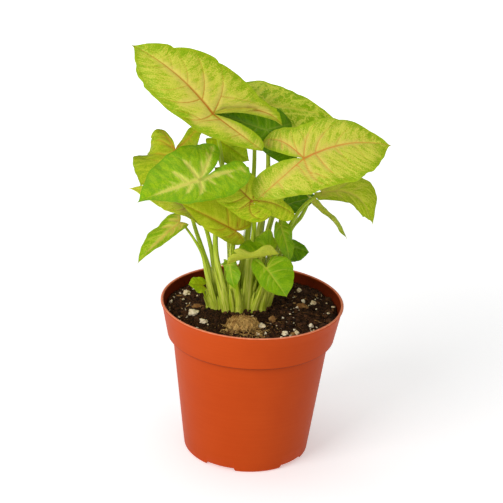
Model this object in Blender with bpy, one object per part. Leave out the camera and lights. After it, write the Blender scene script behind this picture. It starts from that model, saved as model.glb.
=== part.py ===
"""Potted syngonium: a young arrowhead plant in a round plastic nursery pot.

Metres, +Z up. The origin is on the pot's axis, on the plane that its five feet stand on, and -Y is
the front. Lengths in the tables and constants are millimetres, and MM turns them into metres.
Every leaf is a thin blade on its own stalk, and all stalks rise from one crown of short stems.
"""

import math
import random
from typing import NamedTuple

import bmesh
import bpy
import numpy as np
from mathutils import Vector

MM = 0.001
GAP = 0.3

# Pot: a turned shell with a rim band, a raised floor and a foot ring cut into five feet.
POT_HEIGHT = 92.0
RIM_RADIUS = 52.0
BAND_HEIGHT = 20.9
BAND_FOOT_RADIUS = 47.7
BODY_TOP_RADIUS = 44.7
BODY_FOOT_RADIUS = 36.0
WALL = 1.2
LIP = 0.8
FLOOR_UNDERSIDE = 3.4
FOOT_RADII = (31.0, 34.2)
FEET = 5
FRONT_FOOT_ANGLE = -77.0
NOTCH_WIDTH = 18.0
NOTCH_HEIGHT = 2.4
DRAIN_RING_RADIUS = 20.0
DRAIN_RADIUS = 4.0
POT_SEGMENTS = 80

# Soil: fills the pot to just below the rim, a little higher in the middle.
SOIL_EDGE = 86.0
SOIL_RISE = 1.5
SOIL_CLEARANCE = 0.36

# Crown: the short stems that carry the stalks, half buried in nature, standing on the soil here.
CROWN_CENTRE = (-7.6, -1.2)
CROWN_RADII = (19.0, 13.2)
CROWN_TOP = 89.2
STALK_FOOT = CROWN_TOP + GAP

BLADE_THICKNESS = 0.6
# How far the side veins bow towards the stalk, as a part of the blade's length.
FRONT_SWEEP = 0.10
BACK_SWEEP = 0.03
STALK_RADII = (2.0, 1.55, 1.3, 1.1, 0.95)
STALK_SIDES = 7
STALK_RINGS = 11

COLOURS = {
    "terracotta": (0.55, 0.10, 0.03),
    "soil": (0.03, 0.015, 0.006),
    "coir": (0.33, 0.17, 0.05),
    "perlite": (0.72, 0.68, 0.58),
    "bark": (0.40, 0.24, 0.10),
    "stem": (0.36, 0.46, 0.06),
    "lime": (0.56, 0.56, 0.12),
    "green": (0.20, 0.38, 0.02),
    "olive": (0.30, 0.38, 0.04),
    "shade": (0.09, 0.20, 0.01),
}


class Half(NamedTuple):
    """One side of a blade, left or right of its midrib.

    width is the widest point's distance from the midrib, at is that point's place along the
    midrib, as a part of its length, and tip is the margin's angle to the midrib at the tip. lobe
    is the length of the basal vein, spread is its angle to the midrib's own line, and arch is how
    far it first swings out. inner is the lobe's fullness on the side of the notch, opening is the
    angle between vein and notch where they start, and round is how blunt the lobe ends.
    """

    width: float
    at: float
    tip: float
    lobe: float
    spread: float
    arch: float = 0.0
    inner: float = 0.2
    opening: float = 25.0
    round: float = 0.36


class Leaf(NamedTuple):
    """A blade and its stalk.

    joint is where the stalk meets the blade, tip is the blade's tip, and face is the way that the
    upper side looks. Angles are degrees: droop is the midrib's bend, cup bends each half down,
    fold lifts it, and drop bends its lobe down. ripple is the margin's wave: height, number of
    waves and start. sway pushes the midrib sideways. foot and route are the stalk's path from the
    crown, and girth scales its thickness.
    """

    name: str
    colour: str
    joint: tuple
    tip: tuple
    face: tuple
    left: Half
    right: Half
    foot: tuple
    route: tuple
    droop: float = 20.0
    cup: tuple = (15.0, 15.0)
    fold: float = 5.0
    drop: tuple = (0.0, 0.0)
    ripple: tuple = (0.6, 2.0, 0.0)
    sway: float = 0.0
    girth: float = 1.0


LEAVES = [
    Leaf(
        "top_left", "lime", (-26, -10, 204), (-72, 8, 235), (-0.15, -0.75, 0.65),
        Half(17.5, 0.5, 38, 33, -6, 0, 0.26, round=0.02),
        Half(26, -0.36, 37, 38, 34, 38, -0.06, opening=18, round=0.3),
        foot=(-11.5, -0.5), route=((-14, 5, 120), (-17, 3, 151), (-21, -4, 180)), droop=22,
        sway=-3,
    ),
    Leaf(
        "top_back", "lime", (-5, 22, 201), (42, 30, 192), (0.15, -0.6, 0.8),
        Half(16, 0.0, 15, 16, 35),
        Half(14, 0.15, 30, 16, 35),
        foot=(-8, 8), route=((-5, 13, 120), (-3, 19, 147), (-3, 24, 175)), droop=25,
    ),
    Leaf(
        "top_shaded", "shade", (3, 4, 192), (-29, 1, 202), (-0.1, -0.75, 0.65),
        Half(9, 0.4, 40, 23, 26),
        Half(14, 0.3, 40, 16, 34),
        foot=(-3.4, 3.4), route=((2, 7, 130), (5, 5, 163), (4.5, 6, 180)), droop=15,
    ),
    Leaf(
        "right_large", "lime", (24, -12, 182), (71.5, -4, 189), (0.1, -0.7, 0.72),
        Half(17.5, 0.05, 40, 24, 30, 15, 0.12),
        Half(24.5, 0.22, 50, 33, 30, 0, 0.28, opening=40, round=0.2),
        foot=(1.3, 3.4), route=((8, 2, 139), (17.5, -3, 163)), droop=25,
        sway=4,
    ),
    Leaf(
        "left_green", "green", (-31, -32, 174), (-63, -46, 165), (-0.15, -0.6, 0.8),
        Half(14.5, 0.02, 15, 29, -2, -5, 0.32, opening=10),
        Half(25, -0.15, 50, 29, 50, -5, 0.0, opening=20),
        foot=(-14.5, -9.4),
        route=((-19.4, -9, 112), (-21.9, -8, 127), (-22.5, -3, 149), (-25, -7, 165)),
    ),
    Leaf(
        "left_ruffled", "olive", (-46, -2, 180), (-64, -14, 162), (-0.3, -0.5, 0.8),
        Half(7, 0.3, 40, 18, -4, 0, 0.35),
        Half(17, 0.4, 60, 17.5, 74, 0, 0.1),
        foot=(-20.3, 1), route=((-25, -3, 110), (-29.6, -2, 123), (-36, -1, 142)), ripple=(4, 2.2, 0),
    ),
    Leaf(
        "left_lower", "olive", (-34, -10, 149), (-69, -28, 166), (-0.1, -0.5, 0.85),
        Half(9, 0.4, 20, 10, 35),
        Half(7, 0.4, 25, 8, 35),
        foot=(-16.5, -2.7), route=((-21.7, -4, 110), (-24.5, -3, 124), (-28.5, -3, 137)),
    ),
    Leaf(
        "middle_left", "olive", (-11, -14, 139), (-41, -26, 158), (-0.2, -0.75, 0.6),
        Half(8, 0.2, 22, 8.4, 20),
        Half(17, 0.2, 40, 11, 42),
        foot=(-9.4, -5.6), route=((-12.4, -9, 116),), droop=15,
    ),
    Leaf(
        "left_drooping", "green", (-42, -8, 140), (-64, -22, 120), (-0.4, -0.6, 0.7),
        Half(5.5, 0.1, 12, 5, 60),
        Half(8.5, 0.25, 40, 8, 60),
        foot=(-20.8, -8), route=((-26, -9, 110), (-29, -9, 122), (-34, -9, 131)), droop=30, girth=0.8,
    ),
    Leaf(
        "middle", "lime", (-3, -21.5, 159.8), (-24, -17.5, 176.8), (-0.1, -0.7, 0.7),
        Half(13, 0.5, 50, 13, 0, 20, 0.1, round=0.05, opening=10),
        Half(11, 0.3, 45, 27, 26, 10, 0.30, opening=35, round=0.2),
        foot=(-3.4, -6), route=((-2.4, -6, 117), (-1, -9, 138), (-2, -16, 152)), drop=(-20, 10),
    ),
    Leaf(
        "back_right", "shade", (15, 18, 143), (35, 24, 148), (0.1, -0.5, 0.85),
        Half(12, 0.3, 30, 10, 35),
        Half(7, 0.3, 30, 8, 35),
        foot=(-1, 8), route=((8, 12, 110), (13, 15, 128)),
    ),
    Leaf(
        "right_hanging", "olive", (36, 2, 158), (65, -2, 142), (0.4, -0.5, 0.75),
        Half(15.5, 0.6, 68, 6, 40),
        Half(8, 0.55, 42, 5, 38),
        foot=(3.6, -1.3), route=((8.8, -2, 116), (17, 1, 134), (25.5, 2, 149)), droop=40, sway=9,
    ),
    Leaf(
        "right_narrow", "olive", (31, 9, 150), (52, 12, 127), (0.8, -0.1, 0.5),
        Half(5.5, 0.3, 30, 5, 35),
        Half(3, 0.3, 30, 4, 35),
        foot=(6, 3.4), route=((18, 8, 129), (25, 7.3, 141)), droop=30,
    ),
    Leaf(
        "low_right_dark", "shade", (19, 3, 125), (31, 4, 121), (0.3, -0.8, 0.6),
        Half(4.2, 0.3, 30, 3, 35),
        Half(8.5, 0.3, 50, 4, 35),
        foot=(8, -1.6), route=((15, 1, 113),), girth=0.8,
    ),
    Leaf(
        "low_right", "green", (7, -20, 120), (19, -26, 106), (0.2, -0.9, 0.4),
        Half(13, 0.2, 60, 9, 70),
        Half(8, 0.3, 38, 9, 15),
        foot=(1.3, -6), route=((4, -11, 103),), girth=0.9,
    ),
    Leaf(
        "low_curled", "green", (8.2, -14.7, 126.9), (-19.5, -24, 122.5), (-0.1, -0.2, 0.95),
        Half(10, 0.66, 50, 6, 40),
        Half(13, 0.0, 4, 9, 50),
        foot=(5.5, -5.5), route=((7, -11, 109),), cup=(-150, -85), girth=0.8,
    ),
    Leaf(
        "young_front", "green", (-14, -16, 119.5), (-9.6, -20, 106), (-0.6, -0.7, 0.3),
        Half(6.5, 0.3, 35, 4, 35),
        Half(3.5, 0.3, 35, 4, 35),
        foot=(-7, -10.5), route=((-9, -13, 106),), girth=0.7,
    ),
    Leaf(
        "young_left", "green", (-28.3, -12.8, 104.8), (-35.6, -19.4, 108), (-0.2, -0.7, 0.6),
        Half(5, 0.3, 50, 3, 35),
        Half(5, 0.3, 50, 5, 35),
        foot=(-24, -4.4), route=((-27, -8.5, 98),), girth=0.5,
    ),
    Leaf(
        "inner_left", "shade", (-24, 5, 185), (-5, 5, 173), (0, -0.8, 0.6),
        Half(8, 0.3, 35, 6, 35),
        Half(8, 0.3, 35, 6, 35),
        foot=(-8, 3.6), route=((-13, 10, 120), (-17, 12, 151)), girth=0.75,
    ),
    Leaf(
        "young_right", "green", (14, -6, 140), (20, -12, 121), (0.5, -0.7, 0.5),
        Half(6, 0.3, 35, 4, 35),
        Half(6, 0.3, 35, 4, 35),
        foot=(-0.8, -1.8), route=((7.4, -7.2, 111), (11.4, -6.4, 126)), girth=0.7,
    ),
]

# Loose pieces on the soil: name, colour, centre on the soil, and size along X, Y and Z.
LUMPS = [
    ("coir_plug", "coir", (-4.5, -24.5), (15, 13, 6)),
    ("perlite_left_large", "perlite", (-33, -13), (7, 6, 4)),
    ("perlite_left_front", "perlite", (-26.5, -24), (6, 4, 3)),
    ("perlite_left_back", "perlite", (-38, 14), (5, 5, 3.5)),
    ("perlite_front", "perlite", (5.5, -27), (5, 5, 3.5)),
    ("perlite_front_right", "perlite", (19, -34), (4, 4, 3)),
    ("perlite_right", "perlite", (35, 8), (4, 4, 3)),
    ("perlite_right_back", "perlite", (27, 26), (4, 4, 3)),
    ("bark_left", "bark", (-30.5, -4), (8, 5, 3)),
    ("bark_right", "bark", (29, 3), (8, 4, 3)),
    ("bark_front_right", "bark", (12, -18), (5, 5, 3.5)),
]


def remove_objects():
    for obj in list(bpy.data.objects):
        bpy.data.objects.remove(obj, do_unlink=True)


def material(name, roughness=0.5):
    found = bpy.data.materials.get(name)
    if found:
        return found
    made = bpy.data.materials.new(name)
    made.use_nodes = True
    shader = made.node_tree.nodes["Principled BSDF"]
    shader.inputs["Base Color"].default_value = (*COLOURS[name], 1.0)
    shader.inputs["Roughness"].default_value = roughness
    return made


def add_object(name, colour, mesh, roughness=0.5):
    obj = bpy.data.objects.new(name, mesh)
    mesh.materials.append(material(colour, roughness))
    bpy.context.scene.collection.objects.link(obj)
    return obj


def mesh_of(name, points, faces):
    """A mesh of points in millimetres."""
    mesh = bpy.data.meshes.new(name)
    mesh.from_pydata([Vector(p) * MM for p in points], [], faces)
    mesh.update()
    return mesh


def finished(bm, name, sharp=40.0):
    """The closed, outward-facing mesh of a bmesh in millimetres."""
    bmesh.ops.recalc_face_normals(bm, faces=bm.faces)
    bmesh.ops.scale(bm, vec=Vector((MM, MM, MM)), verts=bm.verts)
    mesh = bpy.data.meshes.new(name)
    bm.to_mesh(mesh)
    bm.free()
    mesh.shade_smooth()
    mesh.set_sharp_from_angle(angle=math.radians(sharp))
    return mesh


def turned(profile, segments):
    """A bmesh turned about Z from a profile of (radius, height) that starts and ends on the axis
    or closes on itself."""
    bm = bmesh.new()
    points = [bm.verts.new((radius, 0, height)) for radius, height in profile]
    on_axis = profile[0][0] == 0
    pairs = zip(points, points[1:] + ([] if on_axis else points[:1]))
    edges = [bm.edges.new(pair) for pair in pairs]
    bmesh.ops.spin(
        bm, geom=points + edges, cent=(0, 0, 0), axis=(0, 0, 1), angle=2 * math.pi, steps=segments,
        use_merge=True,
    )
    bmesh.ops.remove_doubles(bm, verts=bm.verts, dist=0.001)
    return bm


def soil_height(x, y):
    reach = math.hypot(x, y) / wall_radius(SOIL_EDGE)
    return SOIL_EDGE + SOIL_RISE * (1 - reach**2)


def wall_radius(height):
    """Outer radius of the pot's wall at a height, in the band or in the body below it."""
    step = POT_HEIGHT - BAND_HEIGHT
    if height >= step:
        return float(np.interp(height, (step, POT_HEIGHT), (BAND_FOOT_RADIUS, RIM_RADIUS - LIP)))
    return float(np.interp(height, (0, step), (BODY_FOOT_RADIUS, BODY_TOP_RADIUS)))


def pot_profile():
    step = POT_HEIGHT - BAND_HEIGHT
    corner = 1.9
    foot = wall_radius(corner)
    underside = [(0, FLOOR_UNDERSIDE), (FOOT_RADII[0], FLOOR_UNDERSIDE), (FOOT_RADII[0], 0)]
    corner_turn = [math.radians(a) for a in (-90, -60, -30, 0)]
    corner_arc = [
        (foot - corner + corner * math.cos(a), corner + corner * math.sin(a)) for a in corner_turn
    ]
    body = [
        (BODY_TOP_RADIUS, step),
        (BAND_FOOT_RADIUS - 0.4, step),
        (BAND_FOOT_RADIUS, step + 0.4),
    ]
    lip_centre = (RIM_RADIUS - LIP, POT_HEIGHT - LIP)
    lip_turn = [math.radians(a) for a in (-30, 0, 30, 60, 90, 120, 150, 180, 210)]
    lip = [(lip_centre[0] + LIP * math.cos(a), lip_centre[1] + LIP * math.sin(a)) for a in lip_turn]
    inside = [
        (BAND_FOOT_RADIUS - WALL, step + WALL + 0.3),
        (BODY_TOP_RADIUS - WALL, step + WALL),
        (wall_radius(FLOOR_UNDERSIDE + WALL) - WALL, FLOOR_UNDERSIDE + WALL),
        (0, FLOOR_UNDERSIDE + WALL),
    ]
    return underside + corner_arc + body + lip + inside


def pot_cutters():
    """Boxes for the gaps between the feet and pegs for the drain holes, in one hidden object."""
    bm = bmesh.new()
    for n in range(FEET):
        angle = math.radians(FRONT_FOOT_ANGLE + 360 / FEET * (n + 0.5))
        out = Vector((math.cos(angle), math.sin(angle), 0))
        box = bmesh.ops.create_cube(bm, size=1)["verts"]
        bmesh.ops.scale(bm, vec=(14, NOTCH_WIDTH, 2 * NOTCH_HEIGHT), verts=box)
        turn = out.to_track_quat("X", "Z").to_matrix()
        bmesh.ops.rotate(bm, matrix=turn, verts=box)
        bmesh.ops.translate(bm, vec=out * FOOT_RADII[1], verts=box)
    drains = [(0.0, 0.0)]
    for n in range(FEET):
        angle = math.radians(FRONT_FOOT_ANGLE + 360 / FEET * n)
        drains.append((DRAIN_RING_RADIUS * math.cos(angle), DRAIN_RING_RADIUS * math.sin(angle)))
    for x, y in drains:
        peg = bmesh.ops.create_cone(
            bm, cap_ends=True, segments=14, radius1=DRAIN_RADIUS, radius2=DRAIN_RADIUS, depth=4
        )["verts"]
        bmesh.ops.translate(bm, vec=(x, y, FLOOR_UNDERSIDE + WALL / 2), verts=peg)
    cutters = add_object("pot_cutters", "terracotta", finished(bm, "pot_cutters"))
    cutters.hide_render = True
    cutters.display_type = "WIRE"
    return cutters


def add_pot():
    pot = add_object("pot", "terracotta", finished(turned(pot_profile(), POT_SEGMENTS), "pot"))
    cut = pot.modifiers.new("feet and drains", "BOOLEAN")
    cut.operation = "DIFFERENCE"
    cut.solver = "EXACT"
    cut.object = pot_cutters()


def add_soil():
    """The root ball and soil: one plug that follows the pot's inside."""
    step = POT_HEIGHT - BAND_HEIGHT
    inset = WALL + SOIL_CLEARANCE
    bottom = FLOOR_UNDERSIDE + WALL + GAP
    profile = [
        (0, bottom),
        (wall_radius(bottom) - inset, bottom),
        (BODY_TOP_RADIUS - inset, step + inset),
        (BAND_FOOT_RADIUS - inset, step + inset + 0.5),
        (wall_radius(SOIL_EDGE) - inset, SOIL_EDGE),
    ]
    edge = profile[-1][0]
    for part in (0.8, 0.6, 0.4, 0.2, 0):
        profile.append((edge * part, soil_height(edge * part, 0)))
    add_object("soil", "soil", finished(turned(profile, 48), "soil"), roughness=0.95)


def lump(name, centre, size, seed, level=1):
    """A rough pebble that lies on the soil with the usual gap."""
    chance = random.Random(seed)
    bm = bmesh.new()
    bmesh.ops.create_icosphere(bm, subdivisions=level, radius=0.5)
    for vert in bm.verts:
        vert.co *= chance.uniform(0.82, 1.0)
        vert.co.x = vert.co.x * size[0] + centre[0]
        vert.co.y = vert.co.y * size[1] + centre[1]
        vert.co.z = vert.co.z * size[2]
    lift = max(soil_height(v.co.x, v.co.y) - v.co.z for v in bm.verts) + GAP
    bmesh.ops.translate(bm, vec=(0, 0, lift), verts=bm.verts)
    return finished(bm, name)


def add_lumps():
    for seed, (name, colour, centre, size) in enumerate(LUMPS):
        level = 2 if name == "coir_plug" else 1
        add_object(name, colour, lump(name, centre, size, seed, level), roughness=0.9)


def add_crown():
    """A low disc with a rounded edge: the short stems at the foot of all stalks."""
    bottom = SOIL_EDGE + SOIL_RISE + GAP
    height = CROWN_TOP - bottom
    profile = [(0, 0), (0.94, 0), (1.0, 0.4 * height), (0.97, 0.8 * height), (0.92, height), (0, height)]
    bm = turned(profile, 40)
    bmesh.ops.scale(bm, vec=(*CROWN_RADII, 1), verts=bm.verts)
    bmesh.ops.translate(bm, vec=(*CROWN_CENTRE, bottom), verts=bm.verts)
    add_object("crown", "stem", finished(bm, "crown"))


def unit(vector):
    return vector / np.linalg.norm(vector)


def bezier(points, steps):
    """Points on a quadratic or cubic Bezier curve."""
    points = np.array(points, float)
    order = len(points) - 1
    t = np.asarray(steps, float)[:, None]
    weights = [math.comb(order, n) * t**n * (1 - t) ** (order - n) for n in range(order + 1)]
    return sum(weight * point for weight, point in zip(weights, points))


def backward(distance, degrees):
    """A point behind the stalk's joint, degrees off the midrib's line."""
    angle = math.radians(degrees)
    return np.array([-distance * math.cos(angle), distance * math.sin(angle)])


def half_rows(length, half, front, back):
    """Pairs of (vein point, margin point) of one flat half, from the tip back to the lobe's end,
    and the pairs between the basal vein and the notch."""
    end = np.array([length, 0.0])
    widest = np.array([half.at * length, half.width])
    lobe = backward(half.lobe, half.spread)
    spread = math.radians(half.spread)
    outward = np.array([math.sin(spread), math.cos(spread)])
    reach = np.linalg.norm(end - widest)
    leave = math.radians(half.tip)
    first = end + 0.38 * reach * np.array([-math.cos(leave), math.sin(leave)])
    front_margin = [end, first, widest + np.array([0.42 * reach, 0]), widest]
    reach = np.linalg.norm(lobe - widest)
    back_margin = [
        widest,
        widest - np.array([0.5 * reach, 0]),
        lobe + outward * half.round * reach,
        lobe,
    ]
    steps = np.linspace(0, 1, front + 1)
    midrib = np.stack([length * (1 - steps) ** 1.2, 0 * steps], axis=1)
    rows = list(zip(midrib, bezier(front_margin, steps)))
    basal = [(0, 0), backward(0.5 * half.lobe, half.spread + half.arch), lobe]
    vein = bezier(basal, np.sin(np.linspace(0, math.pi / 2, back + 1)))[1:]
    steps = np.linspace(0, 1, back + 1)
    rows += list(zip(vein, bezier(back_margin, steps)[1:]))
    notch = [
        (0, 0),
        backward(0.42 * half.lobe, half.spread + half.arch - half.opening),
        lobe - outward * half.inner * half.lobe,
        lobe,
    ]
    return rows, list(zip(vein, bezier(notch, steps)[1:]))


class Blade:
    """Bends a leaf's flat outline into place, in millimetres."""

    def __init__(self, leaf):
        self.leaf = leaf
        self.joint = np.array(leaf.joint, float)
        chord = np.array(leaf.tip, float) - self.joint
        self.bend = math.radians(leaf.droop)
        self.length = np.linalg.norm(chord) * (self.bend / 2) / math.sin(self.bend / 2)
        self.along = unit(chord)
        face = np.array(leaf.face, float)
        self.up = unit(face - self.along * (face @ self.along))
        self.left = np.cross(self.up, self.along)

    def across(self, x, y):
        """Sideways place and lift of a point off the midrib."""
        leaf = self.leaf
        side = 0 if y >= 0 else 1
        half = (leaf.left, leaf.right)[side]
        curl = math.radians(leaf.cup[side]) / half.width
        out = math.sin(curl * abs(y)) / curl
        lift = (math.cos(curl * abs(y)) - 1) / curl
        fold = math.radians(leaf.fold)
        out, lift = (
            out * math.cos(fold) - lift * math.sin(fold),
            out * math.sin(fold) + lift * math.cos(fold),
        )
        height, waves, start = leaf.ripple
        edge = min(abs(y) / half.width, 1.3)
        turn = 2 * math.pi * waves * x / (self.length + half.lobe) + start + 1.9 * side
        return math.copysign(out, y), lift + height * edge**2 * math.sin(turn)

    def place(self, x, y):
        """World point of a flat point: x along the midrib from the joint, y to the left."""
        side = 0 if y >= 0 else 1
        half = (self.leaf.left, self.leaf.right)[side]
        curl = self.bend / self.length
        if x < 0:
            curl = math.radians(self.leaf.drop[side]) / half.lobe or 1e-6
        out, lift = self.across(x, y)
        if x > 0:
            out += self.leaf.sway * 4 * (x / self.length) * (1 - x / self.length)
        ahead = math.sin(curl * x) / curl + math.sin(curl * x) * lift
        rise = (math.cos(curl * x) - 1) / curl + math.cos(curl * x) * lift
        tilt = self.bend / 2
        ahead, rise = (
            ahead * math.cos(tilt) - rise * math.sin(tilt),
            ahead * math.sin(tilt) + rise * math.cos(tilt),
        )
        return self.joint + self.along * ahead + self.left * out + self.up * rise


class Sheet:
    """Collects a blade's points and faces."""

    def __init__(self, blade):
        self.blade = blade
        self.points = []
        self.faces = []

    def add(self, x, y):
        self.points.append(self.blade.place(x, y))
        return len(self.points) - 1

    def fill(self, grid, flip):
        """Faces between neighbouring rows of point numbers. Rows may start or end in one point."""
        for row, following in zip(grid[:-1], grid[1:]):
            for n in range(len(row) - 1):
                loop = [row[n], row[n + 1], following[n + 1], following[n]]
                loop = [point for k, point in enumerate(loop) if point != loop[k - 1]]
                if len(loop) > 2:
                    self.faces.append(loop[::-1] if flip else loop)


def sheet_of(leaf, front, back, columns):
    """The upper side of a leaf as a Sheet with rows along its side veins."""
    blade = Blade(leaf)
    sheet = Sheet(blade)
    front_rows = half_rows(blade.length, leaf.left, front, back)[0][: front + 1]
    midrib = [sheet.add(vein[0], 0) for vein, _ in front_rows]
    for half, sign in ((leaf.left, 1), (leaf.right, -1)):
        rows, notch = half_rows(blade.length, half, front, back)
        grid = [[midrib[0]] * (columns + 1)]
        for number, (vein, margin) in enumerate(rows[1:], start=1):
            root = midrib[number] if number <= front else sheet.add(vein[0], sign * vein[1])
            sweep = FRONT_SWEEP if number <= front else BACK_SWEEP
            row = [root]
            for column in range(1, columns + 1):
                part = column / columns
                point = vein * (1 - part) + margin * part
                x = point[0] - sweep * blade.length * part * (1 - part)
                row.append(root if number == len(rows) - 1 else sheet.add(x, sign * point[1]))
            grid.append(row)
        sheet.fill(grid, flip=sign < 0)
        basal = [row[0] for row in grid[front:]]
        edges = [sheet.add(x, sign * y) for _, (x, y) in notch[:-1]]
        strip = [[basal[0]] * 2, *zip(basal[1:-1], edges), [basal[-1]] * 2]
        sheet.fill(strip, flip=sign > 0)
    return sheet


def add_blade(leaf):
    size = math.dist(leaf.joint, leaf.tip)
    rows = (7, 4, 3) if size > 24 else (5, 3, 2)
    sheet = sheet_of(leaf, *rows)
    blade = add_object(
        f"leaf_{leaf.name}", leaf.colour, mesh_of(leaf.name, sheet.points, sheet.faces)
    )
    solid = blade.modifiers.new("blade thickness", "SOLIDIFY")
    solid.thickness = BLADE_THICKNESS * MM
    solid.offset = -1
    return sheet.blade


def smooth_path(points, count):
    """Points on a Catmull-Rom curve through the given points."""
    points = np.array(points, float)
    points = np.vstack([2 * points[0] - points[1], points, 2 * points[-1] - points[-2]])
    path = []
    for place in np.linspace(0, len(points) - 3, count):
        start = min(int(place), len(points) - 4)
        t = place - start
        a, b, c, d = points[start : start + 4]
        bow = 2 * a - 5 * b + 4 * c - d
        path.append(0.5 * (2 * b + (c - a) * t + bow * t**2 + (3 * b - a - 3 * c + d) * t**3))
    return np.array(path)


def stalk_end(blade):
    """Just under the joint, so that the stalk's end stops short of the blade."""
    return blade.joint - blade.up * 2.0 - blade.along * 1.0


def add_stalk(leaf, blade):
    points = [(*leaf.foot, STALK_FOOT), *leaf.route, stalk_end(blade)]
    path = smooth_path(points, STALK_RINGS)
    tangents = np.gradient(path, axis=0)
    tangents[0] = (0, 0, 1)
    verts, faces = [], []
    side = np.array([1.0, 0.0, 0.0])
    places = np.linspace(0, 1, STALK_RINGS)
    radii = np.interp(places, np.linspace(0, 1, len(STALK_RADII)), STALK_RADII)
    slim = np.interp(places, (0, 0.4), (leaf.girth**0.5, leaf.girth))
    for centre, tangent, radius in zip(path, tangents, radii * slim):
        tangent = unit(tangent)
        side = unit(side - tangent * (side @ tangent))
        other = np.cross(tangent, side)
        for n in range(STALK_SIDES):
            angle = 2 * math.pi * n / STALK_SIDES
            verts.append(centre + radius * (side * math.cos(angle) + other * math.sin(angle)))
    for ring in range(STALK_RINGS - 1):
        start = ring * STALK_SIDES
        for n in range(STALK_SIDES):
            a, b = start + n, start + (n + 1) % STALK_SIDES
            faces.append((a, b, b + STALK_SIDES, a + STALK_SIDES))
    last = (STALK_RINGS - 1) * STALK_SIDES
    faces.append(tuple(reversed(range(STALK_SIDES))))
    faces.append(tuple(range(last, last + STALK_SIDES)))
    mesh = mesh_of(leaf.name, verts, faces)
    mesh.shade_smooth()
    mesh.set_sharp_from_angle(angle=math.radians(60))
    add_object(f"stalk_{leaf.name}", "stem", mesh)


def main():
    remove_objects()
    add_pot()
    add_soil()
    add_lumps()
    add_crown()
    for leaf in LEAVES:
        blade = add_blade(leaf)
        add_stalk(leaf, blade)


main()
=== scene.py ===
"""Looks of a potted syngonium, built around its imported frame.

Lengths in the tables and constants are millimetres, and MM turns them into metres. The origin is
on the pot's axis, on the plane that its feet stand on, and -Y is the front, as in the frame.
"""

import math
import random
from typing import NamedTuple

import bmesh
import bpy
import numpy as np
from mathutils import Matrix, Vector, noise


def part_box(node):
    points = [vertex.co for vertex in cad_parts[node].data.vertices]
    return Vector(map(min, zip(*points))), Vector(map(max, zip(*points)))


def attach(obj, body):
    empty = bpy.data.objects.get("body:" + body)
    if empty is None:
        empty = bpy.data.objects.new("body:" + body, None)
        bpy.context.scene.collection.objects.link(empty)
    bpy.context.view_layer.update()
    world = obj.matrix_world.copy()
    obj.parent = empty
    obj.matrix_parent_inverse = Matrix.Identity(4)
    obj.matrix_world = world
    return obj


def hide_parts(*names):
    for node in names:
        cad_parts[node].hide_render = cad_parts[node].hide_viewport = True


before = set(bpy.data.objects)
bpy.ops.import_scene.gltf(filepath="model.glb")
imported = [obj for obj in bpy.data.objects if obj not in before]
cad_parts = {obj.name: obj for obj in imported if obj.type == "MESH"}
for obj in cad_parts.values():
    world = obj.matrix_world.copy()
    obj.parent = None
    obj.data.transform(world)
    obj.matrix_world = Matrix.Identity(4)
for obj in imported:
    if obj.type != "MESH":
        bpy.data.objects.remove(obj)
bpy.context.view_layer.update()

MM = 0.001
SEED = 11

# Camera: straight at the plant from the front, above it and turned a little on its own axis.
CAMERA_DISTANCE = 900.0
CAMERA_SIDE = -1.8
CAMERA_LIFT = 27.2
CAMERA_ELEVATION = 22.31
CAMERA_ROLL = 2.79
CAMERA_LENS = 113.4
SENSOR = 36.0

BLADE_THICKNESS = 0.5
MARGIN_THICKNESS = 0.18
# How far a blade's rows bow towards its joint, in front of it and behind, as a part of its length.
FRONT_SWEEP = 0.10
BACK_SWEEP = 0.03
# Waves of a margin: the fewest and most of them on a half, and their size as a part of its width.
MARGIN_WAVES = ((2.5, 3.5, 0.018), (5, 7, 0.014), (10, 14, 0.008))
# A nick's length in rows, the drip tip's as a part of the blade's, and how much narrower it gets.
NICK_LENGTH = 0.035
DRIP_TIP = 0.06
DRIP_PINCH = 0.8

# A stalk's radii from its foot to its neck, and the points round it.
STALK_RADII = (1.95, 1.68, 1.38, 1.12, 0.95)
STALK_SIDES = 24
# The crown's middle, which the channels of the stalks face, the widest gap between two feet that
# an old stem fills, and the size of the short stem base at each foot.
CROWN_MIDDLE = np.array([-6.0, -0.5])
SHOOT_GAP = 8.5
STEM_BASE = (4.6, 4.4, 4.0)

# The soil's even surface, a low dome, and how high it is heaped round the crown.
SOIL_LEVEL = 86.0
SOIL_DOME = 1.5
SOIL_RADIUS = 48.9
HEAP = 1.6

# Numbers of loose bits.
PERLITE_GRAINS = 320
PEAT_CRUMBS = 1500
CROWN_CRUMBS = 700
BARK_CHIPS = 120
COIR_FIBRES = 1150
COIR_LITTER = 800
PEAT_FIBRES = 420


def tone(red, green, blue):
    """The linear colour of an sRGB colour written with numbers up to 255."""
    parts = [value / 255 for value in (red, green, blue)]
    linear = [v / 12.92 if v <= 0.04045 else ((v + 0.055) / 1.055) ** 2.4 for v in parts]
    return (*linear, 1.0)


class Half(NamedTuple):
    """One side of a blade, left or right of its midrib.

    width is the widest point's distance from the midrib, at is that point's place along the
    midrib, as a part of its length, and tip is the margin's angle to the midrib at the tip. lobe
    is the length of the basal vein, spread is its angle to the midrib's own line, and arch is how
    far it first swings out. inner is the lobe's fullness on the side of the notch, opening is the
    angle between vein and notch where they start, and round is how blunt the lobe ends. nicks are
    dips in the margin, each its row and its depth as a part of the way to the vein.
    """

    width: float
    at: float
    tip: float
    lobe: float
    spread: float
    arch: float = 0.0
    inner: float = 0.2
    opening: float = 25.0
    round: float = 0.36
    nicks: tuple = ()


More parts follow.
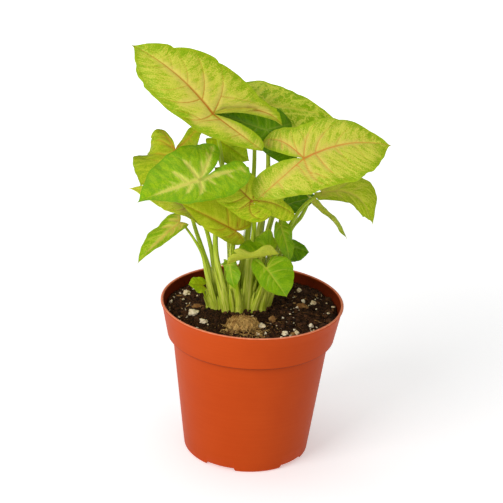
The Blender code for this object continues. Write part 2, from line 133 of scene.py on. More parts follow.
class Leaf(NamedTuple):
    """A blade and its stalk, placed as in the frame.

    joint is where the stalk meets the blade, tip is the blade's tip, and face is the way that the
    upper side looks. Angles are degrees: droop is the midrib's bend, cup bends each half down,
    fold lifts it, and drop bends its lobe down. ripple is the margin's wave: height, number of
    waves and start. sway pushes the midrib sideways. foot and route are the stalk's path from the
    crown, and girth scales its thickness. laterals is the number of side veins on each side.
    """

    name: str
    look: str
    joint: tuple
    tip: tuple
    face: tuple
    left: Half
    right: Half
    foot: tuple
    route: tuple
    droop: float = 20.0
    cup: tuple = (15.0, 15.0)
    fold: float = 5.0
    drop: tuple = (0.0, 0.0)
    ripple: tuple = (0.6, 2.0, 0.0)
    sway: float = 0.0
    girth: float = 1.0
    laterals: int = 3


LEAVES = [
    Leaf(
        "top_left", "cream", (-26, -10, 204), (-72, 8, 235), (-0.15, -0.75, 0.65),
        Half(17.5, 0.5, 38, 33, -6, 0, 0.26, round=0.02),
        Half(
            26, -0.36, 37, 38, 34, 38, -0.06, opening=18, round=0.3,
            nicks=((0.265, 0.15), (0.59, 0.075), (0.93, 0.05)),
        ),
        foot=(-11.5, -0.5), route=((-14, 5, 120), (-17, 3, 151), (-21, -4, 180)), droop=22,
        sway=-3, laterals=5,
    ),
    Leaf(
        "top_back", "marbled", (-5, 22, 201), (42, 30, 192), (0.15, -0.6, 0.8),
        Half(16.1, 0.04, 22, 16, 35), Half(17.5, 0.1, 30, 16, 35),
        foot=(-8, 8), route=((-5, 13, 120), (-3, 19, 147), (-3, 24, 175)), droop=25, laterals=4,
    ),
    Leaf(
        "top_shaded", "shade", (3, 4, 192), (-29, 1, 202), (-0.1, -0.75, 0.65),
        Half(9, 0.4, 40, 23, 26, inner=0.8), Half(14, 0.3, 40, 16, 34, inner=0.55),
        foot=(-3.4, 3.4), route=((2, 7, 130), (5, 5, 163), (4.5, 6, 180)), droop=15,
    ),
    Leaf(
        "right_large", "blush", (24, -12, 182), (71.5, -4, 189), (0.1, -0.7, 0.72),
        Half(19.2, 0.08, 34, 25, 35, 15, 0.12, round=0.72, nicks=((0.62, 0.03),)),
        Half(22, 0.45, 50, 34, 30, 0, 0.46, opening=54, round=0.02),
        foot=(1.3, 3.4), route=((8, 2, 139), (17.5, -3, 163)), droop=25, sway=4, laterals=5,
    ),
    Leaf(
        "left_green", "green", (-31, -32, 174), (-63, -46, 165), (-0.15, -0.6, 0.8),
        Half(14.5, 0.02, 15, 29, -2, -5, 0.42, opening=10),
        Half(25, -0.15, 50, 29, 50, -5, 0.24, opening=34),
        foot=(-14.5, -9.4), laterals=4,
        route=((-19.4, -9, 112), (-21.9, -8, 127), (-22.5, -3, 149), (-25, -7, 165)),
    ),
    Leaf(
        "left_ruffled", "olive", (-46, -2, 180), (-64, -14, 162), (-0.3, -0.5, 0.8),
        Half(7, 0.3, 40, 18, -4, 0, 0.35, nicks=((1.25, 0.12), (1.7, 0.12))),
        Half(17, 0.4, 60, 17.5, 74, 0, 0.1, round=0.62, nicks=((0.97, 0.16), (1.5, 0.14), (1.78, 0.08))),
        foot=(-20.3, 1), route=((-25, -3, 110), (-29.6, -2, 123), (-36, -1, 142)), ripple=(4, 2.2, 0),
    ),
    Leaf(
        "left_lower", "painted_lit_olive", (-34, -10, 149), (-69, -28, 166), (-0.1, -0.5, 0.85),
        Half(9, 0.4, 20, 10, 35), Half(7, 0.4, 25, 8, 35),
        foot=(-16.5, -2.7), route=((-21.7, -4, 110), (-24.5, -3, 124), (-28.5, -3, 137)),
    ),
    Leaf(
        "middle_left", "matte", (-11, -14, 139), (-41, -26, 158), (-0.2, -0.75, 0.6),
        Half(8, 0.2, 22, 8.4, 20), Half(17, 0.2, 40, 11, 42),
        foot=(-9.4, -5.6), route=((-12.4, -9, 116),), droop=15, laterals=2,
    ),
    Leaf(
        "left_drooping", "drooping", (-42, -8, 140), (-64, -22, 120), (-0.4, -0.6, 0.7),
        Half(5.5, 0.1, 12, 5, 60), Half(8.5, 0.25, 40, 8, 60),
        foot=(-20.8, -8), route=((-26, -9, 110), (-29, -9, 122), (-34, -9, 131)), droop=30, girth=0.72,
    ),
    Leaf(
        "middle", "mottled", (-3, -21.5, 159.8), (-24, -17.5, 176.8), (-0.1, -0.7, 0.7),
        Half(13, 0.5, 50, 13, 0, 20, 0.5, round=0.3, opening=10),
        Half(11, 0.3, 45, 27, 26, 10, 0.30, opening=35, round=0.2),
        foot=(-3.4, -6), route=((-2.4, -6, 117), (-1, -9, 138), (-2, -16, 152)), drop=(-20, 10),
    ),
    Leaf(
        "back_right", "shade", (15, 18, 143), (35, 24, 148), (0.1, -0.5, 0.85),
        Half(12, 0.3, 30, 10, 35), Half(7, 0.3, 30, 8, 35),
        foot=(-1, 8), route=((8, 12, 110), (13, 15, 128)),
    ),
    Leaf(
        "right_hanging", "hanging", (36, 2, 158), (65, -2, 142), (0.4, -0.5, 0.75),
        Half(15.5, 0.6, 68, 6, 40, nicks=((0.40, 0.03),)), Half(8, 0.55, 42, 5, 38),
        foot=(3.6, -1.3), route=((8.8, -2, 116), (17, 1, 134), (25.5, 2, 149)), droop=40, sway=9,
    ),
    Leaf(
        "right_narrow", "hanging", (31, 9, 150), (52, 12, 127), (0.8, -0.1, 0.5),
        Half(5.5, 0.3, 30, 5, 35), Half(3, 0.3, 30, 4, 35),
        foot=(6, 3.4), route=((18, 8, 129), (25, 7.3, 141)), droop=30,
    ),
    Leaf(
        "low_right_dark", "shade", (19, 3, 125), (31, 4, 121), (0.3, -0.8, 0.6),
        Half(4.2, 0.3, 30, 3, 35), Half(8.5, 0.3, 50, 4, 35),
        foot=(8, -1.6), route=((15, 1, 113),), girth=0.8,
    ),
    Leaf(
        "low_right", "fresh", (7, -20, 120), (19, -26, 106), (0.2, -0.9, 0.4),
        Half(13, 0.2, 60, 9, 70), Half(8, 0.3, 38, 9, 15),
        foot=(1.3, -6), route=((4, -11, 103),), girth=0.9,
    ),
    Leaf(
        "low_curled", "curled", (8.2, -14.7, 126.9), (-19.5, -24, 122.5), (-0.1, -0.2, 0.95),
        Half(10, 0.66, 50, 6, 40, nicks=((0.35, 0.1), (0.8, 0.16))), Half(13, 0.0, 4, 9, 50),
        foot=(5.5, -5.5), route=((7, -11, 109),), cup=(-112, -70), girth=0.8, ripple=(2.6, 2.1, 0.6),
    ),
    Leaf(
        "young_front", "fresh", (-14, -16, 119.5), (-9.6, -20, 106), (-0.6, -0.7, 0.3),
        Half(6.5, 0.3, 35, 4, 35), Half(3.5, 0.3, 35, 4, 35),
        foot=(-7, -10.5), route=((-9, -13, 106),), girth=0.7,
    ),
    Leaf(
        "young_left", "sheltered", (-28.3, -12.8, 104.8), (-35.6, -19.4, 108), (-0.2, -0.7, 0.6),
        Half(5, 0.3, 50, 3, 35), Half(5, 0.3, 50, 5, 35),
        foot=(-24, -4.4), route=((-27, -8.5, 98),), girth=0.5,
    ),
    Leaf(
        "inner_left", "sheltered", (-24, 5, 185), (-5, 5, 173), (0, -0.8, 0.6),
        Half(9.5, 0.3, 35, 6, 35), Half(9.5, 0.3, 35, 6, 35),
        foot=(-8, 3.6), route=((-13, 10, 120), (-17, 12, 151)), girth=0.75,
    ),
    Leaf(
        "young_right", "fresh", (14, -6, 140), (20, -12, 121), (0.5, -0.7, 0.5),
        Half(6, 0.3, 35, 4, 35), Half(6, 0.3, 35, 4, 35),
        foot=(-0.8, -1.8), route=((7.4, -7.2, 111), (11.4, -6.4, 126)), girth=0.7,
    ),
]


class Look(NamedTuple):
    """Colours and pattern of a blade.

    pale, green and deep are mottled together, with more green where cover is high and, by border,
    near the margin, which is tinted by edge. glow feathers out from the veins over spread
    millimetres, as strongly as flame says. vein is the veins' own colour, and lines is how much of
    it shows. under is the lower side. gloss is the roughness, and net is how much the pale lines
    of a coarse network show.
    """

    slot: str
    pale: tuple
    green: tuple
    deep: tuple
    edge: tuple
    glow: tuple
    vein: tuple
    under: tuple
    cover: float
    border: float
    spread: float
    flame: float
    lines: float
    gloss: float
    net: float = 0.0


LOOKS = {
    "cream": Look(
        "lime", pale=tone(195, 191, 68), green=tone(154, 175, 26), deep=tone(120, 156, 0),
        edge=tone(146, 168, 14), glow=tone(206, 186, 88), vein=tone(166, 96, 14),
        under=tone(158, 164, 40), cover=0.45, border=0.30, spread=4.6, flame=0.7, lines=1.0, gloss=0.46,
    ),
    "blush": Look(
        "lime", pale=tone(200, 197, 72), green=tone(158, 178, 32), deep=tone(122, 158, 0),
        edge=tone(152, 174, 18), glow=tone(212, 188, 92), vein=tone(198, 118, 44),
        under=tone(158, 164, 40), cover=0.42, border=0.28, spread=3.4, flame=0.65, lines=1.0, gloss=0.46,
    ),
    "marbled": Look(
        "lime", pale=tone(204, 208, 60), green=tone(166, 194, 14), deep=tone(136, 178, 0),
        edge=tone(158, 188, 6), glow=tone(224, 226, 78), vein=tone(212, 186, 66),
        under=tone(156, 170, 40), cover=0.74, border=0.16, spread=1.6, flame=0.6, lines=0.4, gloss=0.44,
        net=0.90,
    ),
    "mottled": Look(
        "lime", pale=tone(194, 202, 44), green=tone(162, 186, 12), deep=tone(132, 170, 0),
        edge=tone(168, 188, 14), glow=tone(196, 188, 50), vein=tone(142, 62, 4),
        under=tone(156, 170, 34), cover=0.50, border=0.06, spread=2.2, flame=0.4, lines=1.0, gloss=0.46,
    ),
    "green": Look(
        "green", pale=tone(160, 190, 16), green=tone(140, 178, 2), deep=tone(112, 162, 0),
        edge=tone(112, 160, 0), glow=tone(216, 214, 98), vein=tone(202, 170, 84),
        under=tone(140, 166, 30), cover=0.62, border=0.16, spread=2.2, flame=0.88, lines=0.4, gloss=0.42,
    ),
    "olive": Look(
        "olive", pale=tone(172, 182, 32), green=tone(146, 166, 4), deep=tone(122, 150, 0),
        edge=tone(142, 162, 4), glow=tone(184, 168, 36), vein=tone(190, 108, 32),
        under=tone(162, 172, 44), cover=0.52, border=0.10, spread=2.6, flame=0.5, lines=0.8, gloss=0.48,
    ),
    "hanging": Look(
        "olive", pale=tone(204, 210, 66), green=tone(174, 194, 24), deep=tone(142, 172, 6),
        edge=tone(156, 178, 14), glow=tone(206, 204, 76), vein=tone(210, 190, 84),
        under=tone(168, 180, 50), cover=0.54, border=0.10, spread=2.2, flame=0.5, lines=0.7, gloss=0.48,
    ),
    # Painted light: olive greens made brighter for the lower left leaf, which lies under the green one on
    # the left and in its shadow.
    "painted_lit_olive": Look(
        "olive", pale=tone(240, 238, 96), green=tone(216, 224, 52), deep=tone(186, 204, 24),
        edge=tone(204, 216, 44), glow=tone(246, 214, 120), vein=tone(230, 140, 70),
        under=tone(180, 190, 50), cover=0.44, border=0.10, spread=2.4, flame=0.7, lines=0.9, gloss=0.46,
    ),
    "matte": Look(
        "olive", pale=tone(190, 198, 38), green=tone(176, 190, 16), deep=tone(156, 176, 4),
        edge=tone(174, 188, 18), glow=tone(192, 178, 32), vein=tone(166, 88, 8),
        under=tone(160, 170, 34), cover=0.54, border=0.06, spread=2.4, flame=0.6, lines=0.85, gloss=0.56,
    ),
    "fresh": Look(
        "green", pale=tone(132, 166, 8), green=tone(116, 156, 0), deep=tone(100, 146, 0),
        edge=tone(130, 162, 2), glow=tone(160, 182, 30), vein=tone(182, 182, 64),
        under=tone(160, 172, 44), cover=0.60, border=0.08, spread=0.9, flame=0.35, lines=0.65, gloss=0.42,
    ),
    "drooping": Look(
        "green", pale=tone(172, 190, 46), green=tone(136, 170, 6), deep=tone(112, 154, 0),
        edge=tone(140, 170, 8), glow=tone(200, 190, 84), vein=tone(198, 156, 70),
        under=tone(160, 172, 44), cover=0.54, border=0.18, spread=2.0, flame=0.9, lines=0.7, gloss=0.42,
    ),
    "curled": Look(
        "green", pale=tone(142, 176, 12), green=tone(124, 162, 0), deep=tone(104, 148, 0),
        edge=tone(160, 178, 30), glow=tone(160, 180, 34), vein=tone(180, 184, 60),
        under=tone(184, 184, 62), cover=0.54, border=0.0, spread=1.6, flame=0.3, lines=0.4, gloss=0.42,
    ),
    # Painted shade: darker greens for the leaves that lie in the shadow of others.
    "shade": Look(
        "shade", pale=tone(108, 150, 2), green=tone(88, 134, 0), deep=tone(72, 118, 0),
        edge=tone(88, 132, 0), glow=tone(116, 154, 12), vein=tone(150, 170, 60),
        under=tone(120, 150, 20), cover=0.56, border=0.0, spread=1.6, flame=0.3, lines=0.6, gloss=0.34,
    ),
    "sheltered": Look(
        "shade", pale=tone(182, 202, 30), green=tone(158, 188, 10), deep=tone(132, 170, 0),
        edge=tone(150, 180, 0), glow=tone(170, 184, 20), vein=tone(140, 126, 10),
        under=tone(150, 172, 24), cover=0.52, border=0.0, spread=1.8, flame=0.4, lines=0.7, gloss=0.42,
    ),
}

# Looks of the leaves whose stalks are pink under the blade.
BLUSHING = ("cream", "blush", "mottled", "olive", "matte")


class Shader:
    """Builds a material node by node around its Principled shader."""

    def __init__(self, name, **inputs):
        self.material = bpy.data.materials.new(name)
        self.material.use_nodes = True
        self.tree = self.material.node_tree
        self.principled = self.tree.nodes["Principled BSDF"]
        for socket, value in inputs.items():
            self.set(socket.replace("_", " "), value)

    def set(self, socket, value):
        self.plug(self.principled.inputs[socket], value)

    def plug(self, socket, value):
        if isinstance(value, bpy.types.NodeSocket):
            self.tree.links.new(value, socket)
        else:
            socket.default_value = value

    def node(self, kind, **settings):
        node = self.tree.nodes.new("ShaderNode" + kind)
        for setting, value in settings.items():
            setattr(node, setting, value)
        return node

    def attribute(self, name, output="Fac"):
        return self.node("Attribute", attribute_name=name).outputs[output]

    def place(self):
        return self.node("TexCoord").outputs["Object"]

    def math(self, operation, first, second=0.0):
        node = self.node("Math", operation=operation)
        self.plug(node.inputs[0], first)
        self.plug(node.inputs[1], second)
        return node.outputs[0]

    def times(self, value, factor):
        return self.math("MULTIPLY", value, factor)

    def total(self, *terms):
        """The sum of terms, each a (value, weight)."""
        result = 0.0
        for value, weight in terms:
            result = self.math("ADD", self.times(value, weight), result)
        return result

    def stretch(self, vector, scale):
        node = self.node("VectorMath", operation="MULTIPLY")
        self.plug(node.inputs[0], vector)
        self.plug(node.inputs[1], scale)
        return node.outputs[0]

    def noise(self, vector, scale, detail=3.0, roughness=0.55, distortion=0.0):
        node = self.node("TexNoise")
        self.plug(node.inputs["Vector"], vector)
        for socket, value in (
            ("Scale", scale), ("Detail", detail), ("Roughness", roughness),
            ("Distortion", distortion),
        ):
            self.plug(node.inputs[socket], value)
        return node.outputs["Fac"]

    def cells(self, vector, scale, feature="F1"):
        node = self.node("TexVoronoi", feature=feature)
        self.plug(node.inputs["Vector"], vector)
        self.plug(node.inputs["Scale"], scale)
        return node.outputs["Distance"]

    def ramp(self, value, low, high, start=0.0, end=1.0):
        node = self.node("MapRange", interpolation_type="SMOOTHSTEP")
        for socket, number in zip(node.inputs, (value, low, high, start, end)):
            self.plug(socket, number)
        return node.outputs[0]

    def mix(self, factor, first, second):
        node = self.node("Mix", data_type="RGBA")
        self.plug(node.inputs[0], factor)
        self.plug(node.inputs[6], first)
        self.plug(node.inputs[7], second)
        return node.outputs[2]

    def over(self, base, colour, value, low, high, most=1.0):
        """base with colour laid over it where value is high, to most at the most."""
        return self.mix(self.ramp(value, low, high, 0.0, most), base, colour)

    def bump(self, height, strength, distance):
        node = self.node("Bump")
        self.plug(node.inputs["Strength"], strength)
        self.plug(node.inputs["Distance"], distance * MM)
        self.plug(node.inputs["Height"], height)
        self.set("Normal", node.outputs[0])


def add_object(name, data):
    thing = bpy.data.objects.new(name, data)
    bpy.context.scene.collection.objects.link(thing)
    return thing


def box_of(node):
    """The low and high corners of a node's box in the frame, in millimetres."""
    return [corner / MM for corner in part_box(node)]


def finish(piece, material, replaces, sharp):
    """Smooth shading, a material and a place on the plant's one body."""
    piece.data.shade_smooth()
    piece.data.set_sharp_from_angle(angle=math.radians(sharp))
    piece.data.materials.append(material)
    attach(piece, "root")
    if replaces:
        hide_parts(*replaces)


def add_piece(name, points, faces, material, attributes=(), replaces=(), sharp=50.0):
    """A piece from points in millimetres, with attributes of one or three numbers a point."""
    mesh = bpy.data.meshes.new(name)
    points = np.asarray(points, float) * MM
    mesh.from_pydata(points.tolist(), [], faces)
    for label, values in attributes:
        values = np.asarray(values, np.float32)
        kind, field = ("FLOAT", "value") if values.ndim == 1 else ("FLOAT_VECTOR", "vector")
        layer = mesh.attributes.new(label, kind, "POINT")
        layer.data.foreach_set(field, values.ravel())
    mesh.update()
    finish(add_object(name, mesh), material, replaces, sharp)


def unit(vectors):
    return vectors / np.maximum(np.linalg.norm(vectors, axis=-1, keepdims=True), 1e-12)


def smoothstep(values, low, high):
    part = np.clip((np.asarray(values, float) - low) / (high - low), 0, 1)
    return part * part * (3 - 2 * part)


def bezier(points, steps):
    """Points on a quadratic or cubic Bezier curve, one for each of an array of steps."""
    points = np.array(points, float)
    order = len(points) - 1
    t = np.asarray(steps, float)[..., None]
    weights = [math.comb(order, n) * t**n * (1 - t) ** (order - n) for n in range(order + 1)]
    return sum(weight * point for weight, point in zip(weights, points))


def backward(distance, degrees):
    """A point behind the stalk's joint, degrees off the midrib's line."""
    angle = math.radians(degrees)
    return np.array([-distance * math.cos(angle), distance * math.sin(angle)])


def rotated(first, second, angle):
    """A pair of coordinates, or of axes, turned from the first towards the second."""
    cosine, sine = math.cos(angle), math.sin(angle)
    return first * cosine - second * sine, first * sine + second * cosine


def travelled(path):
    """How far along a path each of its points lies."""
    return np.concatenate([[0], np.cumsum(np.linalg.norm(np.diff(path, axis=0), axis=1))])


def ring_faces(start, rings, sides):
    """Faces between points that follow each other ring by ring."""
    faces = []
    for ring in range(rings - 1):
        for n in range(sides):
            a, b = start + ring * sides + n, start + ring * sides + (n + 1) % sides
            faces.append([a, b, b + sides, a + sides])
    return faces


def tube_faces(start, rings, sides):
    """The same with the first and last ring closed."""
    last = start + (rings - 1) * sides
    caps = [list(range(start, start + sides))[::-1], list(range(last, last + sides))]
    return ring_faces(start, rings, sides) + caps


def grid_faces(grid):
    """Faces of a grid of point numbers, without the corners that two rows or columns share."""
    loops = np.stack([grid[:-1, :-1], grid[:-1, 1:], grid[1:, 1:], grid[1:, :-1]], axis=-1)
    loops = [
        [point for k, point in enumerate(loop) if point != loop[k - 1]]
        for loop in loops.reshape(-1, 4).tolist()
    ]
    return [loop for loop in loops if len(loop) > 2]


def wall_faces(ring, depth):
    """Faces that join a ring of points to its copy in a second skin, depth numbers later."""
    pairs = zip(ring, ring[1:] + ring[:1])
    return [[there, here, here + depth, there + depth] for here, there in pairs]


class FlatHalf:
    """Half of a flat blade. row runs from 0 at the tip to 1 at the joint along the midrib, and on
    to 2 at the lobe's end along the basal vein. part runs from 0 on the vein to 1 on the margin."""

    def __init__(self, length, half, sign, chance):
        self.length = length
        self.half = half
        self.sign = sign
        end = np.array([length, 0.0])
        widest = np.array([half.at * length, half.width])
        lobe = backward(half.lobe, half.spread)
        spread = math.radians(half.spread)
        outward = np.array([math.sin(spread), math.cos(spread)])
        reach = np.linalg.norm(end - widest)
        first = end + backward(0.38 * reach, half.tip)
        self.front = [end, first, widest + np.array([0.42 * reach, 0]), widest]
        reach = np.linalg.norm(lobe - widest)
        leave = widest - np.array([0.5 * reach, 0])
        self.back = [widest, leave, lobe + outward * half.round * reach, lobe]
        start = half.spread + half.arch
        self.basal = [(0, 0), backward(0.5 * half.lobe, start), lobe]
        leave = backward(0.42 * half.lobe, start - half.opening)
        self.notch = [(0, 0), leave, lobe - outward * half.inner * half.lobe, lobe]
        self.waves = [
            (chance.uniform(fewest, most), chance.uniform(0, 6), size)
            for fewest, most, size in MARGIN_WAVES
        ]

    def spine(self, row):
        midrib = self.length * (1 - np.minimum(row, 1)) ** 1.2
        ahead = np.stack([midrib, 0 * midrib], axis=-1)
        behind = bezier(self.basal, np.sin((np.clip(row, 1, 2) - 1) * math.pi / 2))
        return np.where((row < 1)[..., None], ahead, behind)

    def margin(self, row):
        front = bezier(self.front, np.minimum(row, 1))
        back = bezier(self.back, np.clip(row - 1, 0, 1))
        edge = np.where((row < 1)[..., None], front, back)
        root = self.spine(row)
        swell = sum(size * np.sin(math.pi * count * row + start) for count, start, size in self.waves)
        swell = swell * smoothstep(row, 0, 0.25) * smoothstep(2 - row, 0, 0.4)
        for place, depth in self.half.nicks:
            swell = swell - depth * np.exp(-np.abs(row - place) / NICK_LENGTH)
        edge = root + (edge - root) * (1 + swell)[..., None]
        ahead = self.length - edge[..., 0]
        drip = DRIP_TIP * self.length
        edge[..., 1] *= 1 - DRIP_PINCH * np.exp(-((ahead / drip) ** 2)) * (row < 1)
        return edge

    def at(self, row, part, notch=False):
        """Points part of the way from the veins to the margin, or to the notch for rows over 1."""
        row, part = np.broadcast_arrays(np.asarray(row, float), np.asarray(part, float))
        edge = bezier(self.notch, row - 1) if notch else self.margin(row)
        points = self.spine(row) * (1 - part)[..., None] + edge * part[..., None]
        if not notch:
            sweep = FRONT_SWEEP + (BACK_SWEEP - FRONT_SWEEP) * smoothstep(row, 0.9, 1.3)
            points[..., 0] -= sweep * self.length * part * (1 - part)
        points[..., 1] *= self.sign
        return points


class Blade:
    """Bends a flat blade into place, in millimetres."""

    def __init__(self, leaf):
        self.leaf = leaf
        self.joint = np.array(leaf.joint, float)
        chord = np.array(leaf.tip, float) - self.joint
        self.bend = math.radians(leaf.droop)
        self.length = np.linalg.norm(chord) * (self.bend / 2) / math.sin(self.bend / 2)
        self.along = unit(chord)
        face = np.array(leaf.face, float)
        self.up = unit(face - self.along * (face @ self.along))
        self.left = np.cross(self.up, self.along)

    def place(self, flat, side):
        """World points of flat ones: x along the midrib from the joint, y to the left. side is 0
        on the left half and 1 on the right."""
        leaf = self.leaf
        x, y = flat[:, 0], np.abs(flat[:, 1])
        width = np.where(side == 0, leaf.left.width, leaf.right.width)
        lobe = np.where(side == 0, leaf.left.lobe, leaf.right.lobe)
        curl = np.radians(np.where(side == 0, *leaf.cup)) / width
        out, lift = np.sin(curl * y) / curl, (np.cos(curl * y) - 1) / curl
        out, lift = rotated(out, lift, math.radians(leaf.fold))
        height, waves, start = leaf.ripple
        edge = np.minimum(y / width, 1.3)
        turn = 2 * math.pi * waves * x / (self.length + lobe) + start + 1.9 * side
        lift = lift + height * edge**2 * np.sin(turn)
        out = np.where(flat[:, 1] < 0, -out, out)
        sway = leaf.sway * 4 * (x / self.length) * (1 - x / self.length)
        out = out + np.where(x > 0, sway, 0)
        drop = np.radians(np.where(side == 0, *leaf.drop)) / lobe
        bend = np.where(x < 0, np.where(drop == 0, 1e-6, drop), self.bend / self.length)
        ahead = np.sin(bend * x) / bend + np.sin(bend * x) * lift
        rise = (np.cos(bend * x) - 1) / bend + np.cos(bend * x) * lift
        ahead, rise = rotated(ahead, rise, self.bend / 2)
        level = self.joint + ahead[:, None] * self.along + out[:, None] * self.left
        return level + rise[:, None] * self.up


class Sheet:
    """The flat grid of a blade: its points, what each is near, its faces and its margin."""

    def __init__(self, halves, front, back, columns, notch_columns):
        self.flat, self.side, self.row, self.part, self.reach = [], [], [], [], []
        self.faces = []
        self.count = 0
        rows = np.linspace(0, 1, front + 1)
        midrib = self.add(halves[0], rows, np.zeros_like(rows), 0)
        self.margin = [midrib[:1]]
        for side, half in enumerate(halves):
            self.add_half(half, side, midrib, (front, back, columns, notch_columns))
        for label in ("flat", "side", "row", "part", "reach"):
            setattr(self, label, np.concatenate(getattr(self, label)))
        self.margin = np.concatenate(self.margin)

    def add(self, half, rows, parts, side, notch=False):
        rows, parts = np.ravel(rows), np.ravel(parts)
        across = half.at(rows, 1.0, notch) - half.at(rows, 0.0)
        self.flat.append(half.at(rows, parts, notch))
        self.side.append(np.full(len(rows), side))
        self.row.append(rows)
        self.part.append(parts)
        self.reach.append(np.linalg.norm(across, axis=1))
        self.count += len(rows)
        return np.arange(self.count - len(rows), self.count)

    def add_half(self, half, side, midrib, sizes):
        front, back, columns, notch_columns = sizes
        last = front + back
        rows = np.concatenate([np.linspace(0, 1, front + 1), np.linspace(1, 2, back + 1)[1:]])
        behind = rows[front + 1 : last]
        grid = np.empty((last + 1, columns + 1), int)
        grid[0] = midrib[0]
        grid[: front + 1, 0] = midrib
        grid[front + 1 : last, 0] = self.add(half, behind, 0 * behind, side)
        across = np.linspace(0, 1, columns + 1)[1:]
        inner_rows, inner_parts = np.meshgrid(rows[1:last], across, indexing="ij")
        grid[1:last, 1:] = self.add(half, inner_rows, inner_parts, side).reshape(last - 1, columns)
        grid[last] = self.add(half, [2.0], [0.0], side)
        strip = np.empty((back + 1, notch_columns + 1), int)
        strip[0] = midrib[-1]
        strip[:, 0] = grid[front:, 0]
        strip[-1] = grid[last, 0]
        across = np.linspace(0, 1, notch_columns + 1)[1:]
        inner_rows, inner_parts = np.meshgrid(behind, across, indexing="ij")
        inner = self.add(half, inner_rows, inner_parts, side, notch=True)
        strip[1:-1, 1:] = inner.reshape(back - 1, notch_columns)
        front_faces, notch_faces = grid_faces(grid), grid_faces(strip)
        if side == 0:
            notch_faces = [loop[::-1] for loop in notch_faces]
            self.margin += [grid[1:, -1], strip[-2::-1, -1]]
        else:
            front_faces = [loop[::-1] for loop in front_faces]
            self.margin += [strip[1:, -1], grid[-2:0:-1, -1]]
        self.faces += front_faces + notch_faces


class Vein(NamedTuple):
    """A line on the flat blade from its root to its end, with half widths and strengths there.
    glow is how far along it the glow reaches, and flare is how strong the glow is."""

    line: np.ndarray
    widths: tuple
    strengths: tuple
    glow: float = 0.0
    flare: float = 1.0


class Lateral(NamedTuple):
    """A side vein's root, as a part of the midrib, how far ahead of it the vein ends, the angle
    it leaves at, its strength, and the glow's length and strength."""

    place: float
    ahead: float
    angle: float
    strength: float
    glow: float
    flare: float


LATERALS = (
    Lateral(0.0, 0.24, 84, 0.95, 0.85, 1.0),
    Lateral(0.14, 0.34, 68, 0.80, 0.70, 0.9),
    Lateral(0.36, 0.30, 60, 0.50, 0.40, 0.5),
    Lateral(0.56, 0.24, 54, 0.36, 0.30, 0.4),
    Lateral(0.74, 0.16, 48, 0.24, 0.25, 0.3),
)
LOBE_FORKS = ((1.1, 1.26, 0.75), (1.38, 1.5, 0.55), (1.68, 1.78, 0.4))
LOBE_THREADS = ((1.24, 1.36), (1.52, 1.64), (1.84, 1.88))
NOTCH_THREADS = (1.3, 1.62)
THREAD = ((0.16, 0.08), (0.24, 0.08), 0.3, 0.25)


def margin_row(half, ahead):
    """The row whose margin lies ahead millimetres in front of the joint."""
    rows = np.linspace(0.05, 1.6, 150)
    return rows[np.abs(half.margin(rows)[:, 0] - ahead).argmin()]


def side_vein(half, place, ahead, angle, steps):
    """A line from the midrib that leaves at an angle and turns towards the tip near the margin."""
    row = margin_row(half, half.length * min(place + ahead, 0.94))
    end = half.at([row], 0.93)[0]
    root = np.array([half.length * place, 0.0])
    reach = np.linalg.norm(end - root)
    leave, arrive = math.radians(angle), math.radians(26)
    first = root + 0.42 * reach * np.array([math.cos(leave), half.sign * math.sin(leave)])
    second = end - 0.34 * reach * np.array([math.cos(arrive), half.sign * math.sin(arrive)])
    return bezier([root, first, second, end], steps)


def forked_vein(root, end, steps):
    """A line that leaves a side vein towards the tip and bends back into the lobe."""
    ahead = 0.16 * np.linalg.norm(end - root) * np.array([1.0, 0.0])
    return bezier([root, root + 0.5 * (end - root) + ahead, end], steps)


def leaf_veins(leaf, length, halves, chance):
    """Midrib, basal veins and side veins of a blade, then the fine ones between them."""
    size = 0.55 + 0.45 * min(length / 55, 1.2)
    steps = np.linspace(0, 1, 18)
    midrib = np.stack([length * steps * 0.985, 0 * steps], axis=1)
    veins = [Vein(midrib, (0.60 * size, 0.16), (1.0, 0.4), 0.97)]
    for half in halves:
        stand = min(0.55, max(0.0, half.half.arch) / 40)
        basal = half.at(1 + steps, stand * np.sin(2.6 * steps))
        veins.append(Vein(basal, (0.42 * size, 0.12), (0.9, 0.35), 0.7))
        places = []
        for order, side in enumerate(LATERALS[: leaf.laterals]):
            place = side.place + (chance.uniform(-0.02, 0.05) if order else 0.0)
            places.append(place)
            line = side_vein(half, place, side.ahead, side.angle + chance.uniform(-6, 6), steps)
            widths = (0.34 * size * (0.6 + 0.4 * side.strength), 0.11)
            veins.append(Vein(line, widths, (side.strength, 0.4 * side.strength), side.glow, side.flare))
            if order == 0 and leaf.laterals > 3:
                fork = forked_vein(line[6], half.at([1.1], 0.9)[0], steps)
                veins.append(Vein(fork, (0.22 * size, 0.1), (0.6, 0.25), 0.5, 0.5))
        for low, high in zip(places, places[1:]):
            veins.append(Vein(side_vein(half, (low + high) / 2, 0.26, 66, steps), *THREAD))
        for root, end, strength in LOBE_FORKS:
            line = half.at(root + (end - root) * steps**1.4, 0.92 * steps)
            veins.append(Vein(line, (0.30 * size, 0.10), (strength, 0.2), 0.6, 0.6))
        for root, end in LOBE_THREADS:
            veins.append(Vein(half.at(root + (end - root) * steps, 0.9 * steps), *THREAD))
        for root in NOTCH_THREADS:
            line = half.at(root + 0.12 * steps**2, 0.85 * steps, notch=True)
            veins.append(Vein(line, (0.2, 0.1), (0.3, 0.08), 0.4, 0.4))
        rim = half.at(np.linspace(0.14, 1.86, 40), np.full(40, 0.92))
        veins.append(Vein(rim, (0.14, 0.14), (0.16, 0.16)))
    return veins


def distance_along(points, line):
    """Each point's distance to a line, and how far along the line its nearest place is."""
    starts, steps = line[:-1], np.diff(line, axis=0)
    gaps = points[:, None] - starts
    part = np.clip((gaps * steps).sum(2) / ((steps**2).sum(1) + 1e-9), 0, 1)
    distances = np.linalg.norm(gaps - part[..., None] * steps, axis=2)
    nearest = distances.argmin(axis=1)
    picked = np.arange(len(points)), nearest
    return distances[picked], (nearest + part[picked]) / len(starts)


